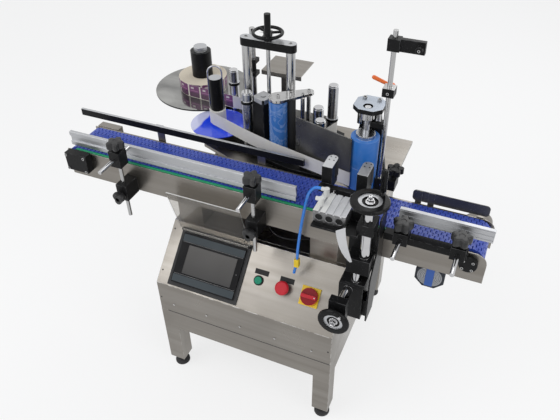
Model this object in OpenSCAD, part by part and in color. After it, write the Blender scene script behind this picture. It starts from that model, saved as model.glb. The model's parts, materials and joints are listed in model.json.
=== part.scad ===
// Benchtop labeling machine for round containers, modelled standing on its feet.
// X runs along the conveyor, Y towards the back, Z up, floor at Z = 0.

/* [Cabinet] */
// Width of the cabinet
cab_w = 555; // [540:1:575]
// Depth of the cabinet
cab_d = 600; // [590:5:680]
// Side of the square legs
leg_w = 51; // [40:1:60]
// Height of the leveling feet
foot_h = 40; // [30:1:60]
// Height of the lower edge of the frame's rails
rail_z = 200; // [120:5:230]
// Height of the seam between frame and housing
seam_z = 276; // [250:2:300]
// Height of the apron's top edge
apron_top = 392; // [386:1:398]
// Height of the deck
deck_top = 528; // [522:1:534]
// Run of the sloping console
slope_run = 140; // [135:1:145]
// Sheet thickness of the housing
sheet = 2; // [1:0.5:3]

/* [Console] */
// Width of the touch panel's bezel
hmi_w = 204; // [180:2:210]
// Height of the touch panel's bezel
hmi_h = 150; // [120:2:152]
// Radius of the start button's cap
start_r = 11; // [9:0.5:14]
// Radius of the stop button's head
stop_r = 20; // [17:0.5:24]
// Side of the isolator's plate
iso_w = 54; // [44:1:58]
// Length of the flip cover from its hinge
cover_l = 175; // [150:5:178]
// Angle of the flip cover above the slope as it stands
cover_open = 62; // [60:1:80]

/* [Conveyor] */
// Reach of the side plates to the left of the cabinet
reach_left = 310; // [300:1:320]
// Length of the side plates
plate_l = 1195; // [1185:1:1205]
// Height of the side plates
plate_h = 86; // [84:1:90]
// Thickness of the side plates
plate_t = 3; // [2:0.5:4]
// Height of the belt's carrying face
belt_top = 733.5; // [732:0.5:735]
// Width of the belt
belt_w = 115; // [90:1:120]
// Thickness of a belt module
belt_t = 9; // [7:0.5:10]
// Pitch of the belt modules
belt_pitch = 25.4; // [25.2:0.1:25.5]
// Outer radius of the belt where it turns
belt_turn_r = 34; // [30:0.5:36]

/* [Guide rails] */
// Height of the left rail's lower edge
left_rail_z = 738; // [736:1:745]
// Height of the left rail
left_rail_h = 43; // [41:1:50]
// Length of the left rail
left_rail_l = 703; // [600:1:720]
// Length of the right rail
right_rail_l = 219; // [200:1:225]
// Radius of the cross rods and posts
rod_r = 5.5; // [4:0.5:6]
// Radius of the lobed knobs
knob_r = 25; // [18:1:28]

/* [Label head] */
// Height of the head base's lower face
base_z = 724; // [722:1:728]
// Thickness of the head base
base_t = 12; // [8:1:14]
// Width of the label web
web_h = 42; // [30:1:60]
// Thickness of the label web
web_t = 0.6; // [0.4:0.1:1]
// Outer radius of the label roll
roll_r = 78; // [60:1:90]
// Radius of the supply disc
disc_r = 158; // [120:1:159]
// Radius of the waste disc
waste_disc_r = 85; // [70:1:87]
// Radius of the two columns
column_r = 12.5; // [10:0.5:14]
// Distance between the two columns
column_pitch = 128; // [110:1:140]
// Height of the two columns above the tray
column_h = 324; // [300:1:360]
// Radius of the lifting screw
screw_r = 5.5; // [4:0.5:7]
// Radius of the head's handwheel
head_wheel_r = 42.5; // [36:0.5:50]
// Radius of the traction roller
traction_r = 25; // [20:0.5:25]
// Radius of the pinch roller
pinch_r = 12; // [9:0.5:12]
// Height of the peel plate
peel_h = 144; // [100:1:150]

/* [Wrap station] */
// Radius of the wrap roller
wrap_r = 36; // [30:0.5:36.5]
// Height of the wrap roller
wrap_h = 148; // [100:1:150]
// Height of the sensor mast's top
mast_top = 1167; // [1150:1:1250]

/* [Press unit] */
// Radius of the press unit's columns
press_col_r = 12; // [9:0.5:12]
// Radius of the height handwheel
height_wheel_r = 45; // [36:0.5:50]
// Radius of the depth handwheel
depth_wheel_r = 40; // [34:0.5:44]
// Radius of the nip rollers
nip_r = 15; // [11:0.5:16]
// Length of the air cylinder's body
cyl_l = 76; // [60:1:80]

/* [Hidden] */
$fn = 48;

// Clearances and the one overrun of every cut
over = 1;
fit = 0.05;
gap = 0.3;
seam = 0.2;
rivet_r = 3;
rivet_h = 2;

// The reference point of the machine, below the middle of its outline
origin_x = 269.5;
origin_y = 307.4;

// Cabinet
slope_a = atan((deck_top - apron_top) / slope_run);
wall = 2;
deck_lip = 12;
c_flange = 25;
foot_r = 24;
foot_pad = 12;
stem_r = 6;
nut_r = 10;
nut_h = 6;
vent_w = 160;
vent_d = 120;
apron_screw_x = [0.09, 0.292, 0.492, 0.692, 0.896] * cab_w;
apron_screw_up = 36;
apron_screw_z = seam_z + apron_screw_up;

// Console, measured across and up the slope
hmi_x = 48;
hmi_v = 16;
hmi_t = 6;
frame_t = 4;
frame_m = 11;
frame_top = 17;
hmi_body_m = 8;
hmi_body_t = 30;
screen_w = 158;
screen_h = 85;
screen_x = 27;
screen_v = 32;
screen_t = 1;
start_x = 308.5;
start_v = 92.7;
stop_x = 385.6;
stop_v = 92.1;
iso_x = 465;
iso_v = 91.5;
iso_t = 4;
collar_w = 3.5;
collar_h = 5;
cap_gap = 1.2;
start_h = 8;
button_stem_r = 6;
barrel_t = 2;
back_h = 28;
stem_l = 20;
hinge_up = 9;
lug_in = 3;
stop_neck_r = 10;
stop_collar_r = 15;
stop_collar_h = 8;
stop_lift = 14;
stop_h = 10;
knob_grip_w = 10;
knob_grip_h = 8;
iso_knob_r = 24;
iso_knob_h = 12;
iso_body_w = 40;
iso_boss_r = 11;
iso_stem_r = 5;
iso_body_h = 25;
iso_grip_l = 44;
stop_neck_z = 2.5;
chamfer = 2;
hinge_w = 14;
hinge_r = 4.5;
hinge_pin_r = 2;
lug_w = 5;
cover_t = 3;
cover_m = 8;

// Conveyor
side_gap = 7;
conv_y = 100;
plate_x0 = -reach_left;
plate_x1 = plate_x0 + plate_l;
plate_end_r = 30;
belt_y0 = conv_y + plate_t + side_gap;
belt_y1 = belt_y0 + belt_w;
rear_y = belt_y1 + side_gap;
conv_y1 = rear_y + plate_t;
plate_drop = 90.5;
plate_z0 = belt_top - plate_drop;
plate_z1 = plate_z0 + plate_h;
drive_in = 41;
drive_x = plate_x1 - drive_in;
pitch_r = belt_turn_r - belt_t / 2;
tail_in = 27.5;
axis_room = drive_x - plate_x0 - tail_in;
belt_links = round((2 * axis_room + 2 * PI * pitch_r) / belt_pitch);
axis_gap = (belt_links * belt_pitch - 2 * PI * pitch_r) / 2;
tail_x = drive_x - axis_gap;
axle_z = belt_top - belt_turn_r;
belt_in_r = belt_turn_r - belt_t;
groove_r = 1.5;
shaft_r = 10;
sprocket_gap = 0.5;
sprocket_r = belt_in_r - sprocket_gap;
sprocket_w = 12;
tooth_r = 5;
strip_t = 6.6;
strip_h = 17;
strip_drop = 1.5;
carry_w = [10, 15, 10];
carry_y = [15, 50, 90];
carry_h = 12.3;
bar_r = 8;
bar_x = [-180, 180, 345, 600, 690];
carry_in = 30;
bear_out = 19.5;
bear_x0 = tail_x - bear_out;
bear_w = 72;
bear_h = 57;
bear_t = 25;
cap_r = 22;
cap_t = 12;
cover_r = 32;
cover_d = 27;
motor_x = 763;
motor_z = 606;
motor_r = 36;
motor_l = 78;
gear_l = 35;
bracket_w = 80;
saddle_x = [53, 470];
saddle_w = 80;
saddle_y0 = 150;
saddle_y1 = 228;
saddle_t = 3;
ear_top = 57;

// Head pedestal and tray
tray_z = 700;
tray_t = 10;
tray_w = 577;
tray_d = 322;
tray_x0 = 23;
tray_y0 = 240;
tray_cut_x = 184;
tray_cut_y = 71;
box_x0 = 70;
box_x1 = 480;
box_y0 = 290;
box_y1 = 560;

// Guide rails and their clamps
clamp_x = [-97, 305];
holder_x = [687, 818];
clamp_w = 34;
clamp_y0 = 46;
post_y = 62;
low_z0 = 640;
low_h = 50;
post_z0 = 575;
post_l = 177;
up_h = 48;
rod_y0 = -20;
rail_y = 112;
rail_t = 10;
rail_x0 = -301;
rod_drop = 3;
rod_z = left_rail_z + left_rail_h - rod_drop;
slot_h = 17;
slot_t = 4;
bar_x0 = 642;
bar_x1 = 838;
bar_y0 = 78;
bar_z0 = 722;
bar_h = 20;
holder_y1 = 90;
holder_h = 34;
right_z = 758;
right_x0 = 666;
right_rail_z = 762;
right_rail_h = 35;
foot_w = 16;
foot_t = 8;
knob_stem_r = 4;
knob_hub_r = 9;
knob_hub_h = 12;
knob_h = 23;
knob_hole = 14;
low_knob_r = 20;
low_knob_h = 18;
low_knob_z = 658;
low_hub_h = 6;
rear_rail_x0 = -346;
rear_rail_l = 724;
rear_rail_z = 764;
rear_rail_h = 21;
rear_rail_t = 8;
upright_x = [-73, 250];
upright_w = 24;
upright_z0 = 665;
guard_x0 = 672;
guard_l = 191;
guard_z0 = 735;
guard_h = 33;
guard_r = 10;
strap_x = [680, 712];
strap_w = 16;
strap_z0 = 700;

// Head: places of its posts and rollers
base_x0 = -150;
base_y0 = 241;
base_l = 580;
base_d = 359;
base_top = base_z + base_t;
base_shares = [[1, 0], [1, 0.25], [0.97, 0.64], [0.83, 0.72], [0.45, 0.8], [0.16, 1], [0, 1],
    [0, 0.76], [0.22, 0.55], [0.25, 0.29], [0.47, 0.25], [0.68, 0.17], [0.69, 0.05], [0.83, 0]];
web_lift = 12;
web_z = base_top + web_lift;
unwind_p = [-107, 555];
waste_p = [42, 376];
g1_p = [49, 478];
g2_p = [173, 316];
g3_p = [378, 331];
g4_p = [405, 271];
g5_p = [381, 442];
traction_p = [277, 293];
pinch_p = [305, 318];
arm_post_p = [335, 325];
arm_end_p = [342, 351];
mast_p = [156, 400];
peel_a_p = [341, 264];
peel_b_p = [508, 215];
column_p = [162, 350];
screw_p = [column_p[0] + column_pitch / 2, column_p[1]];
g_r = [14, 15, 14.5, 14, 14.5];
g_h = [136, 166, 154, 154, 166];
g_collar_z = [87, 132, 0, 0, 54];
collar_r = 17;
collar_t = 9;
cap_inset = 1.5;
cap_h = 4;
axle_r = 5;
axle_top = 14;
disc_t = 5;
disc_z = web_z - disc_t;
hub_r = 33;
hub_h = 128;
hub_cap_r = 21;
hub_cap_h = 14;
hub_axle_r = 6;
roll_gap = 0.2;
roll_over = 2;
roll_h = web_h + roll_over;
waste_lift = 1.6;
waste_z = base_top + waste_lift;
waste_t = 3;
spindle_r = 18.5;
spindle_top = 892;
coil_r = 24.5;
loop_r = 2.5;
loop_half = 20.3;
loop_top = 907;
loop_a = 24;
boss_r = 20;
bush_r = 18;
bush_h = 20;
nut_boss_r = 14;
nut_boss_h = 16;
motor_w = 42;
motor_p = [222, 319];
motor_a = -22.2;
motor_h = 161;
motor_cap_r = 7;
top_bar_h = 22;
top_bar_r = 15;
top_bar_l = 160;
screw_foot = 0.5;
wheel_lift = 14;
wheel_h = 9;
wheel_hub_r = 12;
wheel_hub_h = 22;
spoke_r = 3.5;
handle_r = 8.5;
handle_h = 59;
handle_pin_r = 4;
handle_pin_h = 6;
handle_a = -66;
traction_z = 742;
traction_h = 168;
arm_z = 912;
arm_t = 8;
arm_r = 14;
pin_r = 4;
post_r = 6;
arm_bolt_r = 5;
arm_bolt_h = 4;
rear_mast_r = 8;
rear_mast_top = 1049;
rear_clamp_w = 26;
rear_clamp_h = 12;
rear_clamp_z = [911, 949];
shelf_x0 = 180;
shelf_l = 120;
shelf_y0 = 400;
shelf_d = 100;
shelf_top = 930;
shelf_lip = 13;
leg_x0 = 236;
leg_y0 = 410;
leg_s = 26;
peel_lift = 9;
peel_z = base_top + peel_lift;
peel_t = 2.5;
peel_foot = [12, 72];
peel_foot_d = 10;

// Wrap station
wrap_p = [533, 248];
wrap_z = 738;
wrap_groove_z = 66;
wrap_groove_h = 3;
wrap_groove_t = 1;
wrap_collar_r = 24.5;
wrap_collar_h = 10;
spin_r = 8;
wrap_boss_r = 12;
bridge_z = 958;
bridge_t = 12;
bridge_x0 = 497;
bridge_w = 73;
bridge_y0 = 225;
bridge_d = 75;
bridge_cut = 18;
bridge_hole_r = 12;
bridge_boss_r = 18;
bridge_boss_h = 20;
back_t = 10;
back_flare = 22;
wrap_motor_w = 55;
wrap_motor_d = 50;
wrap_motor_h = 100;
wrap_motor_z = 780;
standoff_r = 7;
standoff_h = 60;
mast_x = 580;
mast_y = 246;
mast_r = 6;
mast_foot_w = 40;
mast_foot_h = 36;
mast_top_w = 29;
mast_foot_y0 = 236;
mast_foot_d = 26;
mast_clamp_h = 75;
grip_z = 1009;
grip_w = 28;
grip_h = 22;
lever_r = 5;
lever_l = 48;
lever_hub_r = 7;
lever_hub_l = 16;
lever_a = 18;
eye_z = 918;
eye_l = 30;
eye_h = 14;
eye_t = 10;
arm_grip_z = 1121;
arm_grip_w = 28;
arm_grip_h = 29;
arm_x1 = 649;
arm_bar_t = 12;
wing_r = 8;
wing_h = 14;
aux_x0 = 596;
aux_x1 = 622;
aux_d = 22;
aux_l = 40;
aux_z = 740;
aux_h = 30;
aux_knob_r = 22;
aux_knob_h = 16;

// Press unit
box_px0 = 562;
box_px1 = 624;
box_py0 = 3;
box_py1 = 63;
box_pz0 = 500;
box_pz1 = 613;
gusset_x = 636;
gusset_t = 4;
gusset_y0 = 3;
gusset_d = 97;
gusset_h = 300;
gusset_shares = [[0, 0], [0.55, 0], [1, 0.48], [1, 0.96], [0.93, 1], [0.45, 1], [0.38, 0.67],
    [0, 0.48]];
spacer_h = 55;
stub_x = 586;
stub_z = 596;
stub_l = 49;
foot_c_x0 = 560;
foot_c_w = 44;
foot_c_h = 65;
foot_c_z0 = 553;
foot_c_t = 22;
depth_x = 580;
depth_z = 567;
depth_spigot_r = 8;
depth_spigot_l = 16;
carriage_x0 = 566;
carriage_w = 60;
carriage_d = 50;
carriage_t = 8;
col2_x = 601;
col1_x = 615;
col_y = 20;
col2_top = 660;
block_x0 = 577;
block_x1 = 634;
block_d = 42;
block_b_h = 45;
col1_top = 850;
block_a_x0 = 595;
block_a_z = 784;
block_a_h = 29;
web_plate_x0 = 568;
web_plate_t = 6;
web_plate_z0 = 690;
web_plate_gap = 0.5;
shelf_px0 = 488;
shelf_px1 = 600;
shelf_py0 = -10;
shelf_py1 = 80;
shelf_pt = 6;
shelf_pz = 780;
cyl_x0 = 488;
cyl_w = 79;
cyl_y0 = 3;
cyl_h = 34;
cyl_bore_r = 9;
cyl_bore_d = 4;
cyl_slot_w = 4;
cyl_slot_t = 3;
ram_r = 5;
ram_x = [505, 550];
valve_x = 499;
valve_y = [28, 66];
valve_r = 7;
valve_h = 20;
valve_arm_r = 5;
bar_px0 = 464;
bar_px1 = 582;
bar_py0 = 105;
bar_pt = 15;
bar_pz0 = 795;
bar_ph = 17;
nip_p = [[479, 163], [567, 167]];
nip_z0 = 812.3;
nip_h = 39.4;
nip_top = 852;
nip_arm_w = 26;
nip_cap_h = 8;
nip_axle_r = 4;
height_hub_r = 14;
height_hub_h = 24;
rim_w = 16;
rim_h = 12;
web_r = 7;
spigot_r = 5;
spigot_l = 30;
nut_top_r = 8;
nut_top_h = 12;
press_handle_r = 8;
press_handle_h = 58;
depth_hub_h = 20;

// Routes of the two free lines, point by point
tube_r = 4;
tube_pts = [[485.4, 66, 836], [477, 66, 836], [468, 67, 832], [456, 71, 815], [446, 76, 786], [436, 80, 730], [428, 80, 670],
    [422, 80, 610], [419, 80, 560], [411, 80, 515]];
sleeve_r = 7;
sleeve_h = 28;
sleeve_p = [419.6, 80, 556];
cable_r = 3;
cable_pts = [[259, 289.7, 533], [259, 280, 533], [261, 262, 532], [268, 232, 532], [290, 200, 532], [325, 183, 532],
    [362, 186, 532], [392, 200, 532], [408, 206, 533],
    [420, 207, 533], [429.7, 207, 533]];

// Shared shapes
module centred() {
    translate([-origin_x, -origin_y, 0]) children();
}
module block(x0, x1, y0, y1, z0, z1) {
    translate([x0, y0, z0]) cube([x1 - x0, y1 - y0, z1 - z0]);
}
module post(p, r, z0, z1) {
    translate([p[0], p[1], z0]) cylinder(r = r, h = z1 - z0);
}
module along_y(x, z, r, y0, y1) {
    translate([x, y0, z]) rotate([-90, 0, 0]) cylinder(r = r, h = y1 - y0);
}
module along_x(y, z, r, x0, x1) {
    translate([x0, y, z]) rotate([0, 90, 0]) cylinder(r = r, h = x1 - x0);
}
module side_shape(x0, x1, pts) {
    translate([x0, 0, 0]) rotate([90, 0, 90]) linear_extrude(x1 - x0) polygon(pts);
}
module rounded_plate(x0, x1, y0, y1, z0, z1, r) {
    block(x0 + r, x1 - r, y0, y1, z0, z1);
    block(x0, x1, y0 + r, y1 - r, z0, z1);
    for (x = [x0 + r, x1 - r], y = [y0 + r, y1 - r]) post([x, y], r, z0, z1);
}
module on_slope() {
    translate([0, 0, apron_top]) rotate([slope_a, 0, 0]) children();
}
// A knob with five lobes, standing on its stem
module lobed_knob(r, h, hub_h, stem_l, lobes = 5) {
    lobe_r = r * 0.34;
    translate([0, 0, -stem_l]) cylinder(r = knob_stem_r, h = stem_l + hub_h);
    cylinder(r = knob_hub_r, h = hub_h);
    translate([0, 0, hub_h]) {
        cylinder(r = r * 0.68, h = h);
        for (i = [0:lobes - 1]) rotate([0, 0, i * 360 / lobes + 18])
            translate([r - lobe_r, 0, 0]) cylinder(r = lobe_r, h = h);
    }
}
// A dished handwheel with its crank handle
module dished_wheel(r, hub_r, hub_h, grip_h, grip_r) {
    rotate_extrude() polygon([[0, 0], [hub_r, 0], [hub_r, hub_h - rim_h], [r - rim_w, hub_h - rim_h],
        [r - rim_w / 3, hub_h - rim_h], [r, hub_h - rim_h * 0.66], [r, hub_h - rim_h * 0.33],
        [r - rim_w / 3, hub_h], [r - rim_w, hub_h], [r - rim_w - rim_h * 0.2, hub_h - rim_h * 0.6],
        [hub_r * 0.9, hub_h - rim_h * 0.6], [nut_top_r, hub_h], [0, hub_h]]);
    translate([0, 0, hub_h]) cylinder(r = nut_top_r, h = nut_top_h / 2);
    translate([0, 0, hub_h]) cylinder(r = nut_top_r * 0.6, h = nut_top_h);
    rotate([0, 0, 60]) translate([r - rim_w / 2, 0, hub_h]) {
        cylinder(r = handle_pin_r, h = handle_pin_h);
        if (grip_h > 0) translate([0, 0, handle_pin_h]) cylinder(r = grip_r, h = grip_h);
    }
}
// A bar with two round ends of different radius
module tapered_bar(p, q, r1, r2, z0, h) {
    d = norm(q - p);
    f = atan2(q[1] - p[1], q[0] - p[0]);
    a = acos((r1 - r2) / d);
    post(p, r1, z0, z0 + h);
    post(q, r2, z0, z0 + h);
    translate([0, 0, z0]) linear_extrude(h) polygon([p + r1 * [cos(f + a), sin(f + a)],
        q + r2 * [cos(f + a), sin(f + a)], q + r2 * [cos(f - a), sin(f - a)],
        p + r1 * [cos(f - a), sin(f - a)]]);
}
// A tube swept along a list of points
function unit(v) = v / norm(v);
function way(p, i) = unit(p[min(i + 1, len(p) - 1)] - p[max(i - 1, 0)]);
function side_of(t) = unit(cross(t, abs(t[2]) > 0.9 ? [0, 1, 0] : [0, 0, 1]));
function ring(c, t, r, n) = let(u = side_of(t), v = cross(u, t))
    [for (k = [0:n - 1]) c + r * (cos(k * 360 / n) * u + sin(k * 360 / n) * v)];
function curve(p, i, s) = let(a = p[max(i - 1, 0)], b = p[i], c = p[i + 1],
    d = p[min(i + 2, len(p) - 1)]) 0.5 * (2 * b + (c - a) * s + (2 * a - 5 * b + 4 * c - d) * s * s
    + (3 * b - a - 3 * c + d) * s * s * s);
function smooth(p, m) = concat([for (i = [0:len(p) - 2], k = [0:m - 1]) curve(p, i, k / m)],
    [p[len(p) - 1]]);
module swept_tube(p, r, n) {
    q = smooth(p, 4);
    m = len(q);
    pts = [for (i = [0:m - 1]) each ring(q[i], way(q, i), r, n)];
    polyhedron(concat(pts, [q[0], q[m - 1]]), concat(
        [for (i = [0:m - 2], k = [0:n - 1]) each [[i * n + k, i * n + (k + 1) % n, (i + 1) * n + k],
            [i * n + (k + 1) % n, (i + 1) * n + (k + 1) % n, (i + 1) * n + k]]],
        [for (k = [0:n - 1]) [m * n, (k + 1) % n, k]],
        [for (k = [0:n - 1]) [m * n + 1, (m - 1) * n + k, (m - 1) * n + (k + 1) % n]]));
}

// The web's turns: centre, radius of the surface, +1 where the centre lies to its left
web_turns = [[unwind_p, roll_r, 1], [g1_p, g_r[0], 1], [g5_p, g_r[4], -1], [g3_p, g_r[2], 1],
    [g4_p, g_r[3], 1], [peel_b_p, peel_t / 2, -1], [traction_p, traction_r, -1],
    [g2_p, g_r[1], -1], [waste_p, coil_r, -1]];
last_turn = len(web_turns) - 1;
function turn_r(i) = web_turns[i][1] + gap + web_t / 2;
function heading(i) = let(d = web_turns[i + 1][0] - web_turns[i][0],
    e = web_turns[i][2] * turn_r(i) - web_turns[i + 1][2] * turn_r(i + 1))
    atan2(d[1], d[0]) + asin(e / norm(d));
function round_angle(a) = a - 360 * floor(a / 360);
function turn_pts(i, side) = let(c = web_turns[i][0], s = web_turns[i][2],
    r = turn_r(i) - side * s * web_t / 2, a0 = heading(max(i - 1, 0)),
    a1 = heading(min(i, last_turn - 1)),
    sweep = s > 0 ? round_angle(a1 - a0) : -round_angle(a0 - a1), n = ceil(abs(sweep) / 12 + 0.01))
    [for (k = [0:n]) let(a = a0 + sweep * k / n - s * 90) c + r * [cos(a), sin(a)]];

// Stationary pieces
module c_rail(l) {
    h = seam_z - rail_z;
    translate([0, 0, rail_z]) side_shape(leg_w, leg_w + l, [[0, 0], [c_flange, 0], [c_flange, wall],
        [wall, wall], [wall, h - wall], [c_flange, h - wall], [c_flange, h], [0, h]]);
}
module leg_frame() color("silver") centred() {
    for (x = [0, cab_w - leg_w], y = [0, cab_d - leg_w]) translate([x, y, foot_h]) difference() {
        cube([leg_w, leg_w, seam_z - foot_h]);
        translate([wall, wall, wall]) cube([leg_w - 2 * wall, leg_w - 2 * wall, seam_z]);
        translate([leg_w / 2, leg_w / 2, -over]) cylinder(r = stem_r + seam, h = wall + 2 * over);
    }
    c_rail(cab_w - 2 * leg_w);
    translate([0, cab_d, 0]) mirror([0, 1, 0]) c_rail(cab_w - 2 * leg_w);
    mirror([1, -1, 0]) c_rail(cab_d - 2 * leg_w);
    translate([cab_w, 0, 0]) mirror([1, 0, 0]) mirror([1, -1, 0]) c_rail(cab_d - 2 * leg_w);
}
module leveling_feet() color("dimgray") centred() {
    for (x = [leg_w / 2, cab_w - leg_w / 2], y = [leg_w / 2, cab_d - leg_w / 2])
        translate([x, y, 0]) {
            rotate_extrude() polygon([[0, 0], [foot_r, 0], [foot_r, foot_pad / 2],
                [foot_r / 2, foot_pad], [0, foot_pad]]);
            cylinder(r = stem_r, h = foot_h + wall + nut_h);
            translate([0, 0, foot_h - nut_h]) cylinder(r = nut_r, h = nut_h, $fn = 6);
        }
}
module cabinet_panels() color("gainsboro") centred() {
    s = sheet + seam;
    lip_y = slope_run + deck_lip + seam;
    difference() {
        side_shape(0, cab_w, [[s, seam_z], [cab_d, seam_z], [cab_d, deck_top], [lip_y, deck_top],
            [lip_y, deck_top - s], [slope_run + s * tan(slope_a / 2), deck_top - s],
            [s, apron_top - s * tan(45 - slope_a / 2)]]);
        block(sheet, cab_w - sheet, -over, cab_d - sheet, seam_z + sheet, deck_top - sheet);
        translate([cab_w / 2 - vent_w / 2, cab_d / 2 - vent_d / 2, seam_z - over])
            cube([vent_w, vent_d, sheet + 2 * over]);
    }
}
module console_cover() color("gainsboro") centred() {
    difference() {
        side_shape(0, cab_w, [[0, seam_z], [0, apron_top], [slope_run, deck_top],
            [slope_run + deck_lip, deck_top], [slope_run + deck_lip, deck_top - sheet],
            [slope_run + sheet * tan(slope_a / 2), deck_top - sheet],
            [sheet, apron_top - sheet * tan(45 - slope_a / 2)], [sheet, seam_z]]);
        on_slope() {
            m = hmi_body_m - seam;
            block(hmi_x + m, hmi_x + hmi_w - m, hmi_v + m, hmi_v + hmi_h - m, -sheet - over, over);
            post([start_x, start_v], start_r + barrel_t + seam, -sheet - over, over);
            post([stop_x, stop_v], stop_neck_r + barrel_t + seam, -sheet - over, over);
            post([iso_x, iso_v], iso_boss_r + seam, -sheet - over, over);
        }
    }
}
module hmi_panel() color("dimgray") centred() on_slope() {
    x0 = hmi_x - frame_m;
    x1 = hmi_x + hmi_w + frame_m;
    m = hmi_body_m;
    hinge_v = hmi_v + hmi_h + hinge_up;
    block(x0, x1, hmi_v - frame_m, hmi_v + hmi_h + frame_top, 0, frame_t);
    block(hmi_x + m, hmi_x + hmi_w - m, hmi_v + m, hmi_v + hmi_h - m, -hmi_body_t, 0);
    difference() {
        rounded_plate(hmi_x, hmi_x + hmi_w, hmi_v, hmi_v + hmi_h, frame_t, frame_t + hmi_t, chamfer);
        block(hmi_x + screen_x, hmi_x + screen_x + screen_w, hmi_v + screen_v,
            hmi_v + screen_v + screen_h, frame_t + hmi_t - screen_t, frame_t + hmi_t + over);
    }
    for (x = [x0 + lug_in, x1 - lug_in - lug_w]) {
        block(x, x + lug_w, hinge_v - hinge_r, hinge_v + hinge_r, frame_t, hinge_w);
        along_x(hinge_v, hinge_w, hinge_r, x, x + lug_w);
    }
    along_x(hinge_v, hinge_w, hinge_pin_r, x0 + lug_in, x1 - lug_in);
}
module fitting(cap_r, c_w, c_h) {
    rotate_extrude() polygon([[button_stem_r + fit, -sheet - back_h], [cap_r + barrel_t,
        -sheet - back_h], [cap_r + barrel_t, 0], [cap_r + c_w, 0], [cap_r + c_w, c_h - chamfer],
        [cap_r + c_w - chamfer / 2, c_h], [cap_r + gap, c_h], [cap_r + gap, -sheet],
        [button_stem_r + fit, -sheet]]);
}
module panel_fittings() color("silver") centred() {
    on_slope() {
        translate([start_x, start_v, 0]) fitting(start_r, collar_w, collar_h);
        translate([stop_x, stop_v, 0]) fitting(stop_neck_r, stop_collar_r - stop_neck_r, stop_collar_h);
        translate([iso_x, iso_v, 0]) difference() {
            union() {
                translate([-iso_w / 2, -iso_w / 2, 0]) cube([iso_w, iso_w, iso_t]);
                post([0, 0], iso_boss_r, -sheet, 0);
                block(-iso_body_w / 2, iso_body_w / 2, -iso_body_w / 2, iso_body_w / 2,
                    -sheet - iso_body_h, -sheet);
            }
            post([0, 0], iso_stem_r + fit, -sheet - iso_body_h + wall, iso_t + over);
        }
    }
    for (x = apron_screw_x) along_y(x, apron_screw_z, rivet_r, -rivet_h, 0);
}
module side_plate(y) {
    x1 = plate_x1 - plate_end_r;
    z1 = plate_z1 - plate_end_r;
    difference() {
        union() {
            block(plate_x0, x1, y, y + plate_t, plate_z0, plate_z1);
            block(x1, plate_x1, y, y + plate_t, plate_z0, z1);
            along_y(x1, z1, plate_end_r, y, y + plate_t);
        }
        for (x = [tail_x, drive_x])
            along_y(x, axle_z, shaft_r + fit, y - over, y + plate_t + over);
    }
}
module conveyor_plates() color("silver") centred() {
    side_plate(conv_y);
    side_plate(rear_y);
}
module belt_supports() color("mediumseagreen") centred() {
    rail_top = belt_top - belt_t - seam;
    for (y = [conv_y + plate_t, rear_y - strip_t])
        block(tail_x, drive_x - carry_in, y, y + strip_t, belt_top - strip_drop - strip_h,
            belt_top - strip_drop);
    for (i = [0:2]) block(tail_x + carry_in, drive_x - carry_in, belt_y0 + carry_y[i],
        belt_y0 + carry_y[i] + carry_w[i], rail_top - carry_h, rail_top);
    for (x = bar_x) along_y(x, rail_top - carry_h - bar_r, bar_r, conv_y + plate_t, rear_y);
}
function belt_place(s) =
    s < axis_gap ? [tail_x + s, belt_top]
    : s < axis_gap + PI * pitch_r ? let(b = 90 - (s - axis_gap) / pitch_r * 180 / PI)
        [drive_x + belt_turn_r * cos(b), axle_z + belt_turn_r * sin(b)]
    : s < 2 * axis_gap + PI * pitch_r ? [drive_x - (s - axis_gap - PI * pitch_r),
        axle_z - belt_turn_r]
    : let(b = -90 - (s - 2 * axis_gap - PI * pitch_r) / pitch_r * 180 / PI)
        [tail_x + belt_turn_r * cos(b), axle_z + belt_turn_r * sin(b)];
module belt_loop(r, y0, y1) {
    for (x = [tail_x, drive_x]) along_y(x, axle_z, r, y0, y1);
    block(tail_x, drive_x, y0, y1, axle_z - r, axle_z + r);
}
module belt() color("royalblue") centred() difference() {
    belt_loop(belt_turn_r, belt_y0, belt_y1);
    belt_loop(belt_in_r, belt_y0 - over, belt_y1 + over);
    for (i = [0:belt_links - 1]) {
        q = belt_place((i + 0.5) * belt_pitch);
        along_y(q[0], q[1], groove_r, belt_y0 - over, belt_y1 + over);
    }
}
module chain_case(r, y0, y1) {
    translate([0, y1, 0]) rotate([90, 0, 0])
        tapered_bar([drive_x, axle_z], [motor_x, motor_z], r, r, 0, y1 - y0);
}
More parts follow.
